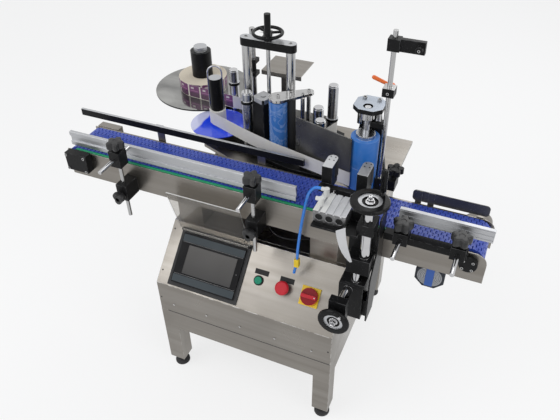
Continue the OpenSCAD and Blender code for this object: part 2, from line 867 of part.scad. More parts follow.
module conveyor_drive() color("dimgray") centred() {
    bracket_y = rear_y - plate_t - seam;
    gear_y = bracket_y - gear_l;
    difference() {
        union() {
            along_y(drive_x, axle_z, cap_r, conv_y - cap_t, conv_y);
            for (y = [conv_y - bear_t, conv_y1]) block(bear_x0, bear_x0 + bear_w, y, y + bear_t,
                plate_z1 + rivet_r - bear_h, plate_z1 + rivet_r);
            chain_case(cover_r, conv_y1, conv_y1 + cover_d);
        }
        along_y(drive_x, axle_z, shaft_r + fit, conv_y - cap_t + wall, conv_y + over);
        along_y(tail_x, axle_z, shaft_r + fit, conv_y - bear_t + wall, conv_y + over);
        along_y(tail_x, axle_z, shaft_r + fit, conv_y1 - over, conv_y1 + bear_t - wall);
        chain_case(cover_r - wall, conv_y1 + wall, conv_y1 + cover_d - wall);
        along_y(drive_x, axle_z, shaft_r + fit, conv_y1 - over, conv_y1 + wall + over);
    }
    for (a = [45:90:315]) along_y(drive_x + cap_r * 0.72 * cos(a), axle_z + cap_r * 0.72 * sin(a),
        rivet_r, conv_y - cap_t - rivet_h, conv_y - cap_t);
    for (x = [rivet_r * 2, bear_w - rivet_r * 2], z = [rivet_r * 2, bear_h - rivet_r * 2])
        along_y(bear_x0 + x, plate_z1 + rivet_r - bear_h + z, rivet_r,
            conv_y - bear_t - rivet_h, conv_y - bear_t);
    block(motor_x - bracket_w / 2, motor_x + bracket_w / 2, bracket_y, bracket_y + plate_t,
        motor_z - bracket_w / 2, plate_z0 + ear_top);
    block(motor_x - cover_r, motor_x + cover_r, gear_y, bracket_y, motor_z - cover_r,
        motor_z + cover_r);
    along_y(motor_x, motor_z, shaft_r, bracket_y + plate_t, conv_y1 + wall);
    along_y(motor_x, motor_z, motor_r, gear_y - motor_l, gear_y);
    along_y(motor_x, motor_z, motor_r * 0.9, gear_y - motor_l - rivet_h, gear_y - motor_l);
}
module saddle(x) {
    x0 = x - saddle_w / 2;
    x1 = x + saddle_w / 2;
    top = plate_z0 - plate_t;
    difference() {
        block(x0, x1, saddle_y0, saddle_y1, deck_top, top);
        block(x0 + saddle_t, x1 - saddle_t, saddle_y0 + saddle_t, saddle_y1 - saddle_t,
            deck_top - over, top - saddle_t);
    }
    block(x0, x1, conv_y + plate_t, rear_y, top - saddle_t, top);
    for (y = [conv_y + plate_t, rear_y - saddle_t])
        block(x0, x1, y, y + saddle_t, top - saddle_t, plate_z0 + ear_top);
}
module pedestals() color("silver") centred() {
    for (x = saddle_x) saddle(x);
    z1 = tray_z - tray_t;
    difference() {
        block(box_x0, box_x1, box_y0, box_y1, deck_top, z1);
        block(box_x0 + sheet, box_x1 - sheet, box_y0 + sheet, box_y1 - sheet, deck_top - over,
            z1 - sheet);
    }
    translate([0, 0, z1]) linear_extrude(tray_t) polygon([[tray_x0, tray_y0 + tray_cut_y],
        [tray_x0 + tray_cut_x, tray_y0], [tray_x0 + tray_w, tray_y0],
        [tray_x0 + tray_w, tray_y0 + tray_d], [tray_x0, tray_y0 + tray_d]]);
}
module rail_clamps() color("dimgray") centred() {
    w = clamp_w / 2;
    for (x = clamp_x) difference() {
        block(x - w, x + w, clamp_y0, conv_y, low_z0, low_z0 + low_h);
        post([x, post_y], rod_r + fit, low_z0 - over, low_z0 + low_h + over);
        along_y(x, low_knob_z, knob_stem_r + fit, clamp_y0 - over, post_y - rod_r - gap);
    }
    block(bar_x0, bar_x1, bar_y0, conv_y, bar_z0, bar_z0 + bar_h);
    for (x = holder_x) difference() {
        z0 = bar_z0 + bar_h;
        block(x - w, x + w, clamp_y0, holder_y1, z0, z0 + holder_h);
        along_y(x, right_z, rod_r + fit, clamp_y0 - over, holder_y1 + over);
        post([x, post_y], knob_stem_r + fit, right_z + rod_r + gap, z0 + holder_h + over);
    }
}
module rear_guides() color("dimgray") centred() {
    block(rear_rail_x0, rear_rail_x0 + rear_rail_l, conv_y1 - rear_rail_t, conv_y1, rear_rail_z,
        rear_rail_z + rear_rail_h);
    for (x = upright_x) block(x - upright_w / 2, x + upright_w / 2, conv_y1, conv_y1 + plate_t,
        upright_z0, rear_rail_z + rear_rail_h);
    translate([0, conv_y1 + 2 * sheet, 0]) rotate([90, 0, 0])
        rounded_plate(guard_x0, guard_x0 + guard_l, guard_z0, guard_z0 + guard_h, 0, sheet, guard_r);
    for (x = strap_x) block(x, x + strap_w, conv_y1, conv_y1 + sheet, strap_z0, guard_z0 + guard_h);
}
module press_bracket() color("dimgray") centred() {
    block(box_px0, box_px1, box_py0, box_py1, box_pz0, box_pz1);
    block(box_px1, gusset_x, box_py0 + foot_w, box_py1 - foot_t, box_pz0, box_pz0 + spacer_h);
    side_shape(gusset_x, gusset_x + gusset_t, [for (s = gusset_shares)
        [gusset_y0 + s[0] * gusset_d, box_pz0 + s[1] * gusset_h]]);
    along_y(stub_x, stub_z, press_col_r, box_py0 - stub_l, box_py0);
    difference() {
        y1 = box_py0 - stub_l;
        block(foot_c_x0, foot_c_x0 + foot_c_w, y1 - foot_c_t, y1, foot_c_z0, foot_c_z0 + foot_c_h);
        along_y(depth_x, depth_z, depth_spigot_r + fit, y1 - foot_c_t - over, y1 + over);
    }
}
module lift_frame() color("silver") centred() {
    y = column_p[1];
    z1 = tray_z + column_h;
    for (i = [0, 1]) post([column_p[0] + i * column_pitch, y], column_r, tray_z, z1);
    difference() {
        x0 = screw_p[0] - top_bar_l / 2 + top_bar_r;
        x1 = screw_p[0] + top_bar_l / 2 - top_bar_r;
        union() {
            block(x0, x1, y - top_bar_r, y + top_bar_r, z1, z1 + top_bar_h);
            for (x = [x0, x1]) post([x, y], top_bar_r, z1, z1 + top_bar_h);
        }
        post(screw_p, screw_r + fit, z1 - over, z1 + top_bar_h + over);
    }
}
module wrap_support() color("dimgray") centred() {
    y1 = bridge_y0 + bridge_d;
    x1 = bridge_x0 + bridge_w;
    c = bridge_cut;
    difference() {
        union() {
            post(wrap_p, wrap_boss_r, tray_z, wrap_z - 2 * sheet);
            post(wrap_p, bridge_boss_r, bridge_z - bridge_boss_h, bridge_z);
        }
        post(wrap_p, spin_r + fit, tray_z + sheet, bridge_z + over);
    }
    difference() {
        translate([0, 0, bridge_z]) linear_extrude(bridge_t) polygon([[bridge_x0, bridge_y0 + c],
            [bridge_x0 + c, bridge_y0], [x1 - c, bridge_y0], [x1, bridge_y0 + c], [x1, y1 - c],
            [x1 - c, y1], [bridge_x0 + c, y1], [bridge_x0, y1 - c]]);
        post(wrap_p, bridge_hole_r, bridge_z - over, bridge_z + bridge_t + over);
    }
    translate([0, y1, 0]) rotate([90, 0, 0]) linear_extrude(back_t) polygon([
        [bridge_x0 - back_flare, tray_z], [x1 + back_flare, tray_z], [x1 - c, bridge_z],
        [bridge_x0 + c, bridge_z]]);
    block(wrap_p[0] - wrap_motor_w / 2, wrap_p[0] + wrap_motor_w / 2, y1, y1 + wrap_motor_d,
        wrap_motor_z, wrap_motor_z + wrap_motor_h);
    for (x = [bridge_x0 + c / 2, x1 - c]) post([x, y1 - back_t - standoff_r + over], standoff_r,
        bridge_z - standoff_h, bridge_z);
    for (x = [bridge_x0 + c, x1 - c]) post([x, y1 - c], rivet_r * 1.5, bridge_z + bridge_t,
        bridge_z + bridge_t + 2 * rivet_h);
}
module sensor_mast() color("silver") centred() {
    p = [mast_x, mast_y];
    x1 = mast_x + mast_foot_w / 2;
    post(p, mast_r, tray_z + mast_foot_h, mast_top);
    block(mast_x - mast_foot_w / 2, x1, mast_foot_y0, mast_foot_y0 + mast_foot_d,
        tray_z, tray_z + mast_foot_h);
    block(x1 - mast_top_w, x1, mast_foot_y0, mast_foot_y0 + mast_foot_d, tray_z, tray_z + mast_clamp_h);
    difference() {
        block(mast_x - grip_w / 2, mast_x + grip_w / 2, mast_y - grip_w / 2, mast_y + grip_w / 2,
            grip_z, grip_z + grip_h);
        along_y(mast_x, grip_z + grip_h / 2, knob_stem_r + fit, mast_y + mast_r + gap,
            mast_y + grip_w);
    }
    block(mast_x - mast_r - eye_l, mast_x, mast_y - eye_t / 2, mast_y + eye_t / 2, eye_z,
        eye_z + eye_h);
    block(aux_x0, aux_x1, mast_foot_y0 + foot_t, mast_y + aux_l, aux_z, aux_z + aux_h);
    translate([aux_x1 - foot_t, mast_y + aux_d, aux_z + aux_h])
        lobed_knob(aux_knob_r, aux_knob_h, knob_hub_h, 0);
}

// Moving pieces of the console
module flip_cover() color("slategray", 0.6) centred() on_slope() {
    x0 = hmi_x - frame_m;
    x1 = hmi_x + hmi_w + frame_m;
    inner = lug_in + lug_w + gap;
    translate([0, hmi_v + hmi_h + hinge_up, hinge_w]) rotate([cover_open, 0, 0]) difference() {
        union() {
            along_x(0, 0, hinge_r, x0 + inner, x1 - inner);
            block(x0 + inner, x1 - inner, 0, cover_m, -cover_t / 2, cover_t / 2);
            block(x0, x1, cover_m, cover_l, -cover_t / 2, cover_t / 2);
        }
        along_x(0, 0, hinge_pin_r + fit, x0, x1);
    }
}
module start_button() color("seagreen") centred() on_slope() translate([start_x, start_v, 0])
    rotate_extrude() polygon([[0, -stem_l], [button_stem_r, -stem_l], [button_stem_r, cap_gap],
        [start_r, cap_gap], [start_r, start_h - chamfer / 2], [start_r - chamfer / 2, start_h],
        [0, start_h]]);
module stop_button() color("crimson") centred() on_slope() translate([stop_x, stop_v, 0])
    rotate_extrude() polygon([[0, -stem_l], [button_stem_r, -stem_l], [button_stem_r, stop_neck_z],
        [stop_neck_r, stop_neck_z], [stop_neck_r, stop_lift], [stop_r - chamfer, stop_lift],
        [stop_r, stop_lift + chamfer], [stop_r, stop_lift + stop_h - 2 * chamfer],
        [stop_r - 2 * chamfer, stop_lift + stop_h], [0, stop_lift + stop_h]]);
module isolator_knob() color("crimson") centred() on_slope() translate([iso_x, iso_v, 0]) {
    z0 = iso_t + gap;
    post([0, 0], iso_stem_r, -stem_l, z0);
    post([0, 0], iso_knob_r, z0, z0 + iso_knob_h);
    translate([-iso_grip_l / 2, -knob_grip_w / 2, z0])
        cube([iso_grip_l, knob_grip_w, iso_knob_h + knob_grip_h]);
}

// Moving pieces of the conveyor
module sprocket(x, y) difference() {
    along_y(x, axle_z, sprocket_r, y, y + sprocket_w);
    for (i = [0:7]) along_y(x + (sprocket_r + tooth_r / 2) * cos(i * 45),
        axle_z + (sprocket_r + tooth_r / 2) * sin(i * 45), tooth_r, y - over, y + sprocket_w + over);
}
module roller_shaft(x, y0, y1) {
    along_y(x, axle_z, shaft_r, y0, y1);
    for (y = carry_y) sprocket(x, belt_y0 + y);
}
module drive_shaft() color("silver") centred()
    roller_shaft(drive_x, conv_y - cap_t + wall + gap, conv_y1 + cover_d - 2 * wall);
module tail_shaft() color("silver") centred()
    roller_shaft(tail_x, conv_y - bear_t + wall + gap, conv_y1 + bear_t - wall - gap);

// Guide rails and knobs
module left_rail_posts() color("dimgray") centred() {
    z0 = post_z0 + post_l;
    w = clamp_w / 2;
    for (x = clamp_x) {
        post([x, post_y], rod_r, post_z0, z0);
        difference() {
            block(x - w, x + w, post_y - w, post_y + w, z0, z0 + up_h);
            along_y(x, rod_z, rod_r + fit, post_y - w - over, post_y + w + over);
            post([x, post_y], knob_stem_r + fit, z0 + up_h - knob_hole, z0 + up_h + over);
        }
    }
}
module left_rail() color("silver") centred() {
    for (x = clamp_x) along_y(x, rod_z, rod_r, rod_y0, rail_y);
    s0 = (left_rail_h - slot_h) / 2;
    s1 = s0 + slot_h;
    translate([0, rail_y, left_rail_z]) side_shape(rail_x0, rail_x0 + left_rail_l, [[0, 0],
        [rail_t, 0], [rail_t, left_rail_h], [0, left_rail_h], [0, s1], [slot_t, s1], [slot_t, s0],
        [0, s0]]);
}
module right_rail() color("silver") centred() {
    for (x = holder_x) {
        along_y(x, right_z, rod_r, rod_y0, rail_y);
        block(x - foot_w / 2, x + foot_w / 2, rail_y - foot_t, rail_y, right_z - foot_t,
            right_z + foot_w);
    }
    block(right_x0, right_x0 + right_rail_l, rail_y, rail_y + rail_t, right_rail_z,
        right_rail_z + right_rail_h);
}
module rail_knob(x, z, stem) color("dimgray") centred() translate([x, post_y, z + gap])
    lobed_knob(knob_r, knob_h, knob_hub_h / 2, stem);
module star_knob_1() rail_knob(clamp_x[0], post_z0 + post_l + up_h, knob_hole - rivet_h);
module star_knob_2() rail_knob(clamp_x[1], post_z0 + post_l + up_h, knob_hole - rivet_h);
module star_knob_3() rail_knob(holder_x[0], bar_z0 + bar_h + holder_h, foot_t);
module star_knob_4() rail_knob(holder_x[1], bar_z0 + bar_h + holder_h, foot_t);
module low_knob(x) color("dimgray") centred() translate([x, clamp_y0 - gap, low_knob_z])
    rotate([90, 0, 0]) lobed_knob(low_knob_r, low_knob_h, low_hub_h, foot_t, 3);
module post_knob_1() low_knob(clamp_x[0]);
module post_knob_2() low_knob(clamp_x[1]);

// Press unit
module cross_carriage() color("dimgray") centred() {
    z0 = box_pz1 + gap;
    block(carriage_x0, carriage_x0 + carriage_w, box_py0, box_py0 + carriage_d, z0, z0 + carriage_t);
    post([col2_x, col_y], press_col_r, z0 + carriage_t, col2_top);
    block(block_x0, block_x1, 0, block_d, col2_top, col2_top + block_b_h);
    difference() {
        post([col1_x, col_y], press_col_r, col2_top + block_b_h, col1_top);
        post([col1_x, col_y], spigot_r + fit, col1_top - spigot_l - over, col1_top + over);
    }
}
module lift_block() color("dimgray") centred() {
    difference() {
        block(block_a_x0, block_x1, 0, block_d + web_plate_gap, block_a_z, block_a_z + block_a_h);
        post([col1_x, col_y], press_col_r + fit, block_a_z - over, block_a_z + block_a_h + over);
    }
    y0 = block_d + web_plate_gap;
    block(web_plate_x0, block_x1, y0, y0 + web_plate_t, web_plate_z0, block_a_z + block_a_h);
    block(shelf_px0, shelf_px1, shelf_py0, shelf_py1, shelf_pz, shelf_pz + shelf_pt);
}
module press_cylinder() color("silver") centred() {
    z0 = shelf_pz + shelf_pt;
    z1 = z0 + cyl_h;
    y1 = cyl_y0 + cyl_l;
    cx = cyl_x0 + cyl_w / 2;
    difference() {
        block(cyl_x0, cyl_x0 + cyl_w, cyl_y0, y1, z0, z1);
        for (x = [-1, 0, 1]) along_y(cx + x * cyl_w * 0.31, z0 + cyl_h / 2, cyl_bore_r,
            cyl_y0 - over, cyl_y0 + cyl_bore_d);
        for (x = [-1.5, -0.5, 0.5, 1.5]) block(cx + x * cyl_w * 0.22, cx + x * cyl_w * 0.22
            + cyl_slot_w, cyl_y0 - over, y1 + over, z1 - cyl_slot_t, z1 + over);
        for (x = ram_x) along_y(x, bar_pz0 + bar_ph / 2, ram_r + fit, cyl_y0 + foot_w, y1 + over);
    }
    for (y = valve_y) {
        post([valve_x, y], valve_r, z1 - cyl_slot_t, z1 + valve_h);
        along_x(y, z1 + foot_w, valve_arm_r, valve_x - valve_r - valve_r + over, valve_x);
    }
}
module press_carriage() color("dimgray") centred() {
    z1 = bar_pz0 + bar_ph;
    w = nip_arm_w / 2;
    for (x = ram_x) along_y(x, bar_pz0 + bar_ph / 2, ram_r, cyl_y0 + foot_w + gap, bar_py0);
    block(bar_px0, bar_px1, bar_py0, bar_py0 + bar_pt, bar_pz0, z1);
    for (p = nip_p) {
        y0 = bar_py0 + bar_pt;
        block(p[0] - w, p[0] + w, y0, p[1], bar_pz0, z1);
        post(p, w, bar_pz0, z1);
        block(p[0] - w, p[0] + w, y0, p[1] - nip_r - rivet_h, z1, nip_top + nip_cap_h);
        block(p[0] - w, p[0] + w, y0, p[1], nip_top, nip_top + nip_cap_h);
        post(p, w, nip_top, nip_top + nip_cap_h);
        post(p, nip_axle_r, z1, nip_top);
    }
}
module nip_roller(p) color("dimgray") centred() difference() {
    post(p, nip_r, nip_z0, nip_z0 + nip_h);
    post(p, nip_axle_r + fit, nip_z0 - over, nip_z0 + nip_h + over);
}
module nip_roller_1() nip_roller(nip_p[0]);
module nip_roller_2() nip_roller(nip_p[1]);
module height_wheel() color("dimgray") centred() translate([col1_x, col_y, col1_top + gap]) {
    translate([0, 0, -spigot_l]) cylinder(r = spigot_r, h = spigot_l);
    dished_wheel(height_wheel_r, height_hub_r, height_hub_h, press_handle_h, press_handle_r);
}
module depth_wheel() color("dimgray") centred()
    translate([depth_x, box_py0 - stub_l - foot_c_t - gap, depth_z]) rotate([90, 0, 0]) {
        translate([0, 0, -depth_spigot_l]) cylinder(r = depth_spigot_r, h = depth_spigot_l);
        dished_wheel(depth_wheel_r, height_hub_r, depth_hub_h, 0, 0);
    }

// Label head
module head_base() color("dimgray") centred() {
    columns = [for (i = [0, 1]) [column_p[0] + i * column_pitch, column_p[1]]];
    difference() {
        union() {
            translate([0, 0, base_z]) linear_extrude(base_t) polygon([for (s = base_shares)
                [base_x0 + s[0] * base_l, base_y0 + s[1] * base_d]]);
            for (p = columns) post(p, bush_r, base_z - bush_h, base_z);
            post(screw_p, nut_boss_r, base_z - nut_boss_h, base_z);
            post(unwind_p, boss_r, base_top, disc_z - gap);
        }
        for (p = columns) post(p, column_r + fit, base_z - bush_h - over, base_top + over);
        post(screw_p, screw_r + fit, base_z - nut_boss_h - over, base_top + over);
        post(unwind_p, hub_axle_r + fit, base_top - over, disc_z + over);
    }
    translate([motor_p[0], motor_p[1], base_top]) rotate([0, 0, motor_a]) {
        translate([-motor_w / 2, -motor_w / 2, 0]) cube([motor_w, motor_w, motor_h]);
        cylinder(r = motor_cap_r, h = motor_h + rivet_h);
    }
}
module head_wheel() color("dimgray") centred() {
    z1 = tray_z + column_h + top_bar_h + gap;
    rim = wheel_h / 2;
    post(screw_p, screw_r, tray_z + screw_foot, z1 + wheel_hub_h);
    post(screw_p, wheel_hub_r, z1, z1 + wheel_hub_h);
    translate([screw_p[0], screw_p[1], z1 + wheel_lift]) {
        rotate_extrude() translate([head_wheel_r - rim, rim]) circle(r = rim);
        for (a = [30:120:270]) rotate([0, 0, a]) translate([0, 0, rim]) rotate([0, 90, 0])
            cylinder(r = spoke_r, h = head_wheel_r - rim);
        rotate([0, 0, handle_a]) translate([head_wheel_r - rim, 0, rim]) {
            cylinder(r = handle_pin_r, h = handle_pin_h + rim);
            translate([0, 0, handle_pin_h]) cylinder(r = handle_r, h = handle_h);
        }
    }
}
module unwinder() color("dimgray") centred() difference() {
    union() {
        post(unwind_p, disc_r, disc_z, disc_z + disc_t);
        post(unwind_p, hub_r, disc_z, web_z + hub_h);
        post(unwind_p, hub_cap_r, web_z + hub_h, web_z + hub_h + hub_cap_h);
    }
    post(unwind_p, hub_axle_r + fit, disc_z - over, web_z + hub_h - axle_top);
}
module label_roll() color("wheat") centred() difference() {
    post(unwind_p, roll_r, web_z, web_z + roll_h);
    post(unwind_p, hub_r + roll_gap, web_z - over, web_z + roll_h + over);
}
module rewinder() color("royalblue") centred() {
    z1 = waste_z + waste_t;
    difference() {
        union() {
            post(waste_p, waste_disc_r, waste_z, z1);
            post(waste_p, spindle_r, waste_z, spindle_top);
            post(waste_p, coil_r, web_z, web_z + web_h);
            translate([waste_p[0], waste_p[1], 0]) rotate([0, 0, loop_a]) {
                for (x = [-loop_half, loop_half]) post([x, 0], loop_r, z1, loop_top);
                translate([0, 0, loop_top]) rotate([90, 0, 0]) rotate_extrude(angle = 180)
                    translate([loop_half, 0]) circle(r = loop_r);
            }
        }
        post(waste_p, axle_r + fit, waste_z - over, spindle_top - axle_top);
    }
}
module label_web() color("whitesmoke") centred() translate([0, 0, web_z]) linear_extrude(web_h)
    polygon(concat([for (i = [0:last_turn]) each turn_pts(i, 1)],
        [for (i = [last_turn:-1:0], q = [turn_pts(i, -1)], k = [len(q) - 1:-1:0]) q[k]]));
module head_posts() color("silver") centred() {
    guides = [g1_p, g2_p, g3_p, g4_p, g5_p];
    post(unwind_p, hub_axle_r, base_top, web_z + hub_h - axle_top - gap);
    post(waste_p, axle_r, base_top, spindle_top - axle_top - gap);
    for (i = [0:4]) post(guides[i], axle_r, base_top, base_top + g_h[i] - axle_top);
    post(traction_p, hub_axle_r, base_top, arm_z);
    post(pinch_p, pin_r, base_top, arm_z);
    for (p = [arm_post_p, arm_end_p]) post(p, post_r, base_top, arm_z);
    tapered_bar(traction_p, arm_end_p, traction_r, arm_r, arm_z, arm_t);
    for (p = [traction_p, pinch_p, arm_post_p, arm_end_p])
        post(p, arm_bolt_r, arm_z + arm_t, arm_z + arm_t + arm_bolt_h);
    post(mast_p, rear_mast_r, base_top, rear_mast_top);
    for (z = rear_clamp_z) block(mast_p[0] - rear_clamp_w / 2, mast_p[0] + rear_clamp_w / 2,
        mast_p[1] - rear_clamp_w / 2, mast_p[1] + rear_clamp_w / 2, z, z + rear_clamp_h);
    block(shelf_x0, shelf_x0 + shelf_l, shelf_y0, shelf_y0 + shelf_d, shelf_top - sheet, shelf_top);
    block(shelf_x0, shelf_x0 + shelf_l, shelf_y0, shelf_y0 + sheet, shelf_top - shelf_lip, shelf_top);
    block(leg_x0, leg_x0 + leg_s, leg_y0, leg_y0 + leg_s, base_top, shelf_top - sheet);
}
module guide_roller(p, i) color("silver") centred() translate([p[0], p[1], base_top + gap]) {
    r = g_r[i];
    h = g_h[i];
    rotate_extrude() polygon([[axle_r + fit, 0], [r, 0], [r, h - cap_h], [r - cap_inset, h - cap_h],
        [r - cap_inset, h], [0, h], [0, h - axle_top], [axle_r + fit, h - axle_top]]);
    if (g_collar_z[i] > 0) translate([0, 0, g_collar_z[i]]) difference() {
        cylinder(r = collar_r, h = collar_t);
        translate([0, 0, -over]) cylinder(r = axle_r + fit, h = collar_t + 2 * over);
    }
}
module guide_roller_1() guide_roller(g1_p, 0);
module guide_roller_2() guide_roller(g2_p, 1);
module guide_roller_3() guide_roller(g3_p, 2);
module guide_roller_4() guide_roller(g4_p, 3);
module guide_roller_5() guide_roller(g5_p, 4);
module traction_roller() color("dodgerblue") centred() difference() {
    post(traction_p, traction_r, traction_z, traction_z + traction_h);
    post(traction_p, hub_axle_r + fit, traction_z - over, traction_z + traction_h + over);
}
module pinch_roller() color("dimgray") centred() difference() {
    post(pinch_p, pinch_r, traction_z, traction_z + traction_h);
    post(pinch_p, pin_r + fit, traction_z - over, traction_z + traction_h + over);
}
module peel_plate() color("dimgray") centred() {
    d = peel_b_p - peel_a_p;
    translate([peel_a_p[0], peel_a_p[1], peel_z]) rotate([0, 0, atan2(d[1], d[0])]) {
        translate([0, -peel_t / 2, 0]) cube([norm(d), peel_t, peel_h]);
        translate([norm(d), 0, 0]) cylinder(r = peel_t / 2, h = peel_h);
        translate([peel_foot[0], -peel_t / 2, base_top - peel_z])
            cube([peel_foot[1] - peel_foot[0], peel_foot_d, peel_z - base_top]);
    }
}
module wrap_roller() color("dodgerblue") centred() {
    z1 = wrap_z + wrap_h;
    g0 = wrap_z + wrap_groove_z;
    post(wrap_p, spin_r, tray_z + 2 * sheet, bridge_z + bridge_t - sheet);
    post(wrap_p, wrap_r, wrap_z, g0);
    post(wrap_p, wrap_r - wrap_groove_t, g0, g0 + wrap_groove_h);
    post(wrap_p, wrap_r, g0 + wrap_groove_h, z1);
    post(wrap_p, wrap_collar_r, z1, z1 + wrap_collar_h);
}
module clamp_lever() color("darkorange") centred()
    translate([mast_x, mast_y + grip_w / 2 + gap, grip_z + grip_h / 2]) rotate([-90, 0, 0]) {
        translate([0, 0, -foot_t / 2]) cylinder(r = knob_stem_r, h = foot_t / 2);
        cylinder(r = lever_hub_r, h = lever_hub_l);
        translate([0, 0, lever_hub_l - lever_r]) rotate([0, -90, lever_a]) rotate_extrude()
            polygon([[0, 0], [lever_r * 0.8, 0], [lever_r, lever_l], [lever_r * 0.7, lever_l
                + lever_r * 0.7], [0, lever_l + lever_r]]);
    }
module sensor_arm() color("dimgray") centred() {
    w = arm_grip_w / 2;
    z1 = arm_grip_z + arm_grip_h;
    difference() {
        union() {
            block(mast_x - w, mast_x + w, mast_y - arm_bar_t, mast_y + arm_bar_t, arm_grip_z, z1);
            block(mast_x, arm_x1, mast_y - arm_bar_t / 2, mast_y + arm_bar_t / 2, arm_grip_z, z1);
        }
        post([mast_x, mast_y], mast_r + fit, arm_grip_z - over, z1 + over);
    }
    along_y(arm_x1 - wing_r - rivet_r, z1 - arm_grip_h / 2, wing_r, mast_y - arm_bar_t / 2 - wing_h,
        mast_y - arm_bar_t / 2);
}

// Free lines
module air_tube() color("dodgerblue") centred() {
    swept_tube(tube_pts, tube_r, 8);
    translate([sleeve_p[0], sleeve_p[1], sleeve_p[2] - sleeve_h / 2])
        cylinder(r = sleeve_r, h = sleeve_h);
}
module sensor_cable() color("black") centred() swept_tube(cable_pts, cable_r, 8);

leg_frame();
leveling_feet();
cabinet_panels();
console_cover();
hmi_panel();
panel_fittings();
conveyor_plates();
belt_supports();
belt();
conveyor_drive();
pedestals();
rail_clamps();
rear_guides();
press_bracket();
lift_frame();
wrap_support();
sensor_mast();
flip_cover();
start_button();
stop_button();
isolator_knob();
drive_shaft();
tail_shaft();
left_rail_posts();
left_rail();
right_rail();
star_knob_1();
star_knob_2();
star_knob_3();
star_knob_4();
post_knob_1();
post_knob_2();
cross_carriage();
lift_block();
press_cylinder();
press_carriage();
nip_roller_1();
nip_roller_2();
height_wheel();
depth_wheel();
head_base();
head_wheel();
unwinder();
label_roll();
rewinder();
label_web();
head_posts();
guide_roller_1();
guide_roller_2();
guide_roller_3();
guide_roller_4();
guide_roller_5();
traction_roller();
pinch_roller();
peel_plate();
wrap_roller();
clamp_lever();
sensor_arm();
air_tube();
sensor_cable();
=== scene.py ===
"""Looks of a small labelling machine for round containers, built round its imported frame.

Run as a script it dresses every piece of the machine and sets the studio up.
"""

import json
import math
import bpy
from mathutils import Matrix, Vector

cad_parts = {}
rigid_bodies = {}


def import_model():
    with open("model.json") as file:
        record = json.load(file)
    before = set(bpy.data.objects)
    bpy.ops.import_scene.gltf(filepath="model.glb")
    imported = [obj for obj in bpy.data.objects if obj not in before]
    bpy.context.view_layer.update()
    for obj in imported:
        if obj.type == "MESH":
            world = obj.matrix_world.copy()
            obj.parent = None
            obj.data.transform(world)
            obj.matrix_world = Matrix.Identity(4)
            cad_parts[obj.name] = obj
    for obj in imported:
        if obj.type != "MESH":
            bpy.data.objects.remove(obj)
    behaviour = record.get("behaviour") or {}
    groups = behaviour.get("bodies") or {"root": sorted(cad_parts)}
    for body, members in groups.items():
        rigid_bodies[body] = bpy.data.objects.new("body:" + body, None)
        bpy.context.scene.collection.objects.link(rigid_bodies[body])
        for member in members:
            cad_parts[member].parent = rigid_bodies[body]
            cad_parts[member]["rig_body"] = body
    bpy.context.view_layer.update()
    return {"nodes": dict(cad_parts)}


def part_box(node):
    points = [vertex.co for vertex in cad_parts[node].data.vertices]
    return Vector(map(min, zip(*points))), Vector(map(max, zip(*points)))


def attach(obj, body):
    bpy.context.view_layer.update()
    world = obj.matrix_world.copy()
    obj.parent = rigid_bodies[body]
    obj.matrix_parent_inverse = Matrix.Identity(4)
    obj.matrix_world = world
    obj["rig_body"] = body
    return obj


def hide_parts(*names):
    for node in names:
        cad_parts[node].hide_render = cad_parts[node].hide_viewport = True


bl_info = {
    "name": "Round Container Labelling Machine",
    "version": (1, 0, 0),
    "blender": (4, 5, 0),
    "location": "3D View > Sidebar > Labeller",
    "description": "Dresses the packed labelling machine with its belt modules, rollers, knobs and finishes",
    "category": "Object",
}

import bmesh
import bpy
from bpy.props import FloatProperty, FloatVectorProperty, IntProperty, PointerProperty
from mathutils import Matrix, Vector

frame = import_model()
NODES = frame["nodes"]
BODY_OF = {n: o["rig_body"] for n, o in NODES.items()}

# Places and sizes of the machine in millimetres from the cabinet's front left corner on the floor

MM = 0.001
CABINET_CORNER = Vector((*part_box("leg_frame")[0].xy, 0))
CONSOLE_RISE, CONSOLE_RUN, CONSOLE_FOOT = 136, 140, 392
SLOPE = math.atan(CONSOLE_RISE / CONSOLE_RUN)
SLOPE_FOOT = CABINET_CORNER + Vector((0, 0, CONSOLE_FOOT * MM))

# Upright axes (x, y)
SUPPLY_AXIS, WASTE_AXIS, WRAP_AXIS = (-107, 555), (42, 376), (533, 248)
HEAD_MOTOR_AXIS, HEAD_WHEEL_AXIS = (222, 319), (226, 350)
MAST_AXIS, HEIGHT_AXIS = (580, 246), (615, 20)

# The gear motor's axis across the conveyor, and where the rods of the two front rails stand
GEAR_MOTOR_X, GEAR_MOTOR_Z = 763, 606
LEFT_RODS, RIGHT_RODS = (-97, 305), (687, 818)

ROLL_RADIUS, ROLL_WIDTH, LABELS_AROUND = 78, 44, 11
UPRIGHT = Matrix.Identity(4)
TOWARD_FRONT = Matrix.Rotation(math.radians(90), 4, "X")
FRONT, TOP = (0, -1, 0), (0, 0, 1)


def at(x, y, z):
    """A point given in millimetres from the cabinet's front left corner on the floor."""
    return CABINET_CORNER + Vector((x, y, z)) * MM


def up_slope(x, v, w=0.0):
    """A point of the console: across it, up its slope and off its face, in millimetres."""
    turned = Matrix.Rotation(SLOPE, 3, "X") @ Vector((x, v, w))
    return SLOPE_FOOT + turned * MM


# Sizes and colours

def length(name, description, default):
    return FloatProperty(name=name, description=description, default=default, min=0.0, unit="LENGTH")


def colour(name, description, default):
    return FloatVectorProperty(name=name, description=description, default=default, min=0.0,
                               max=1.0, size=3, subtype="COLOR")


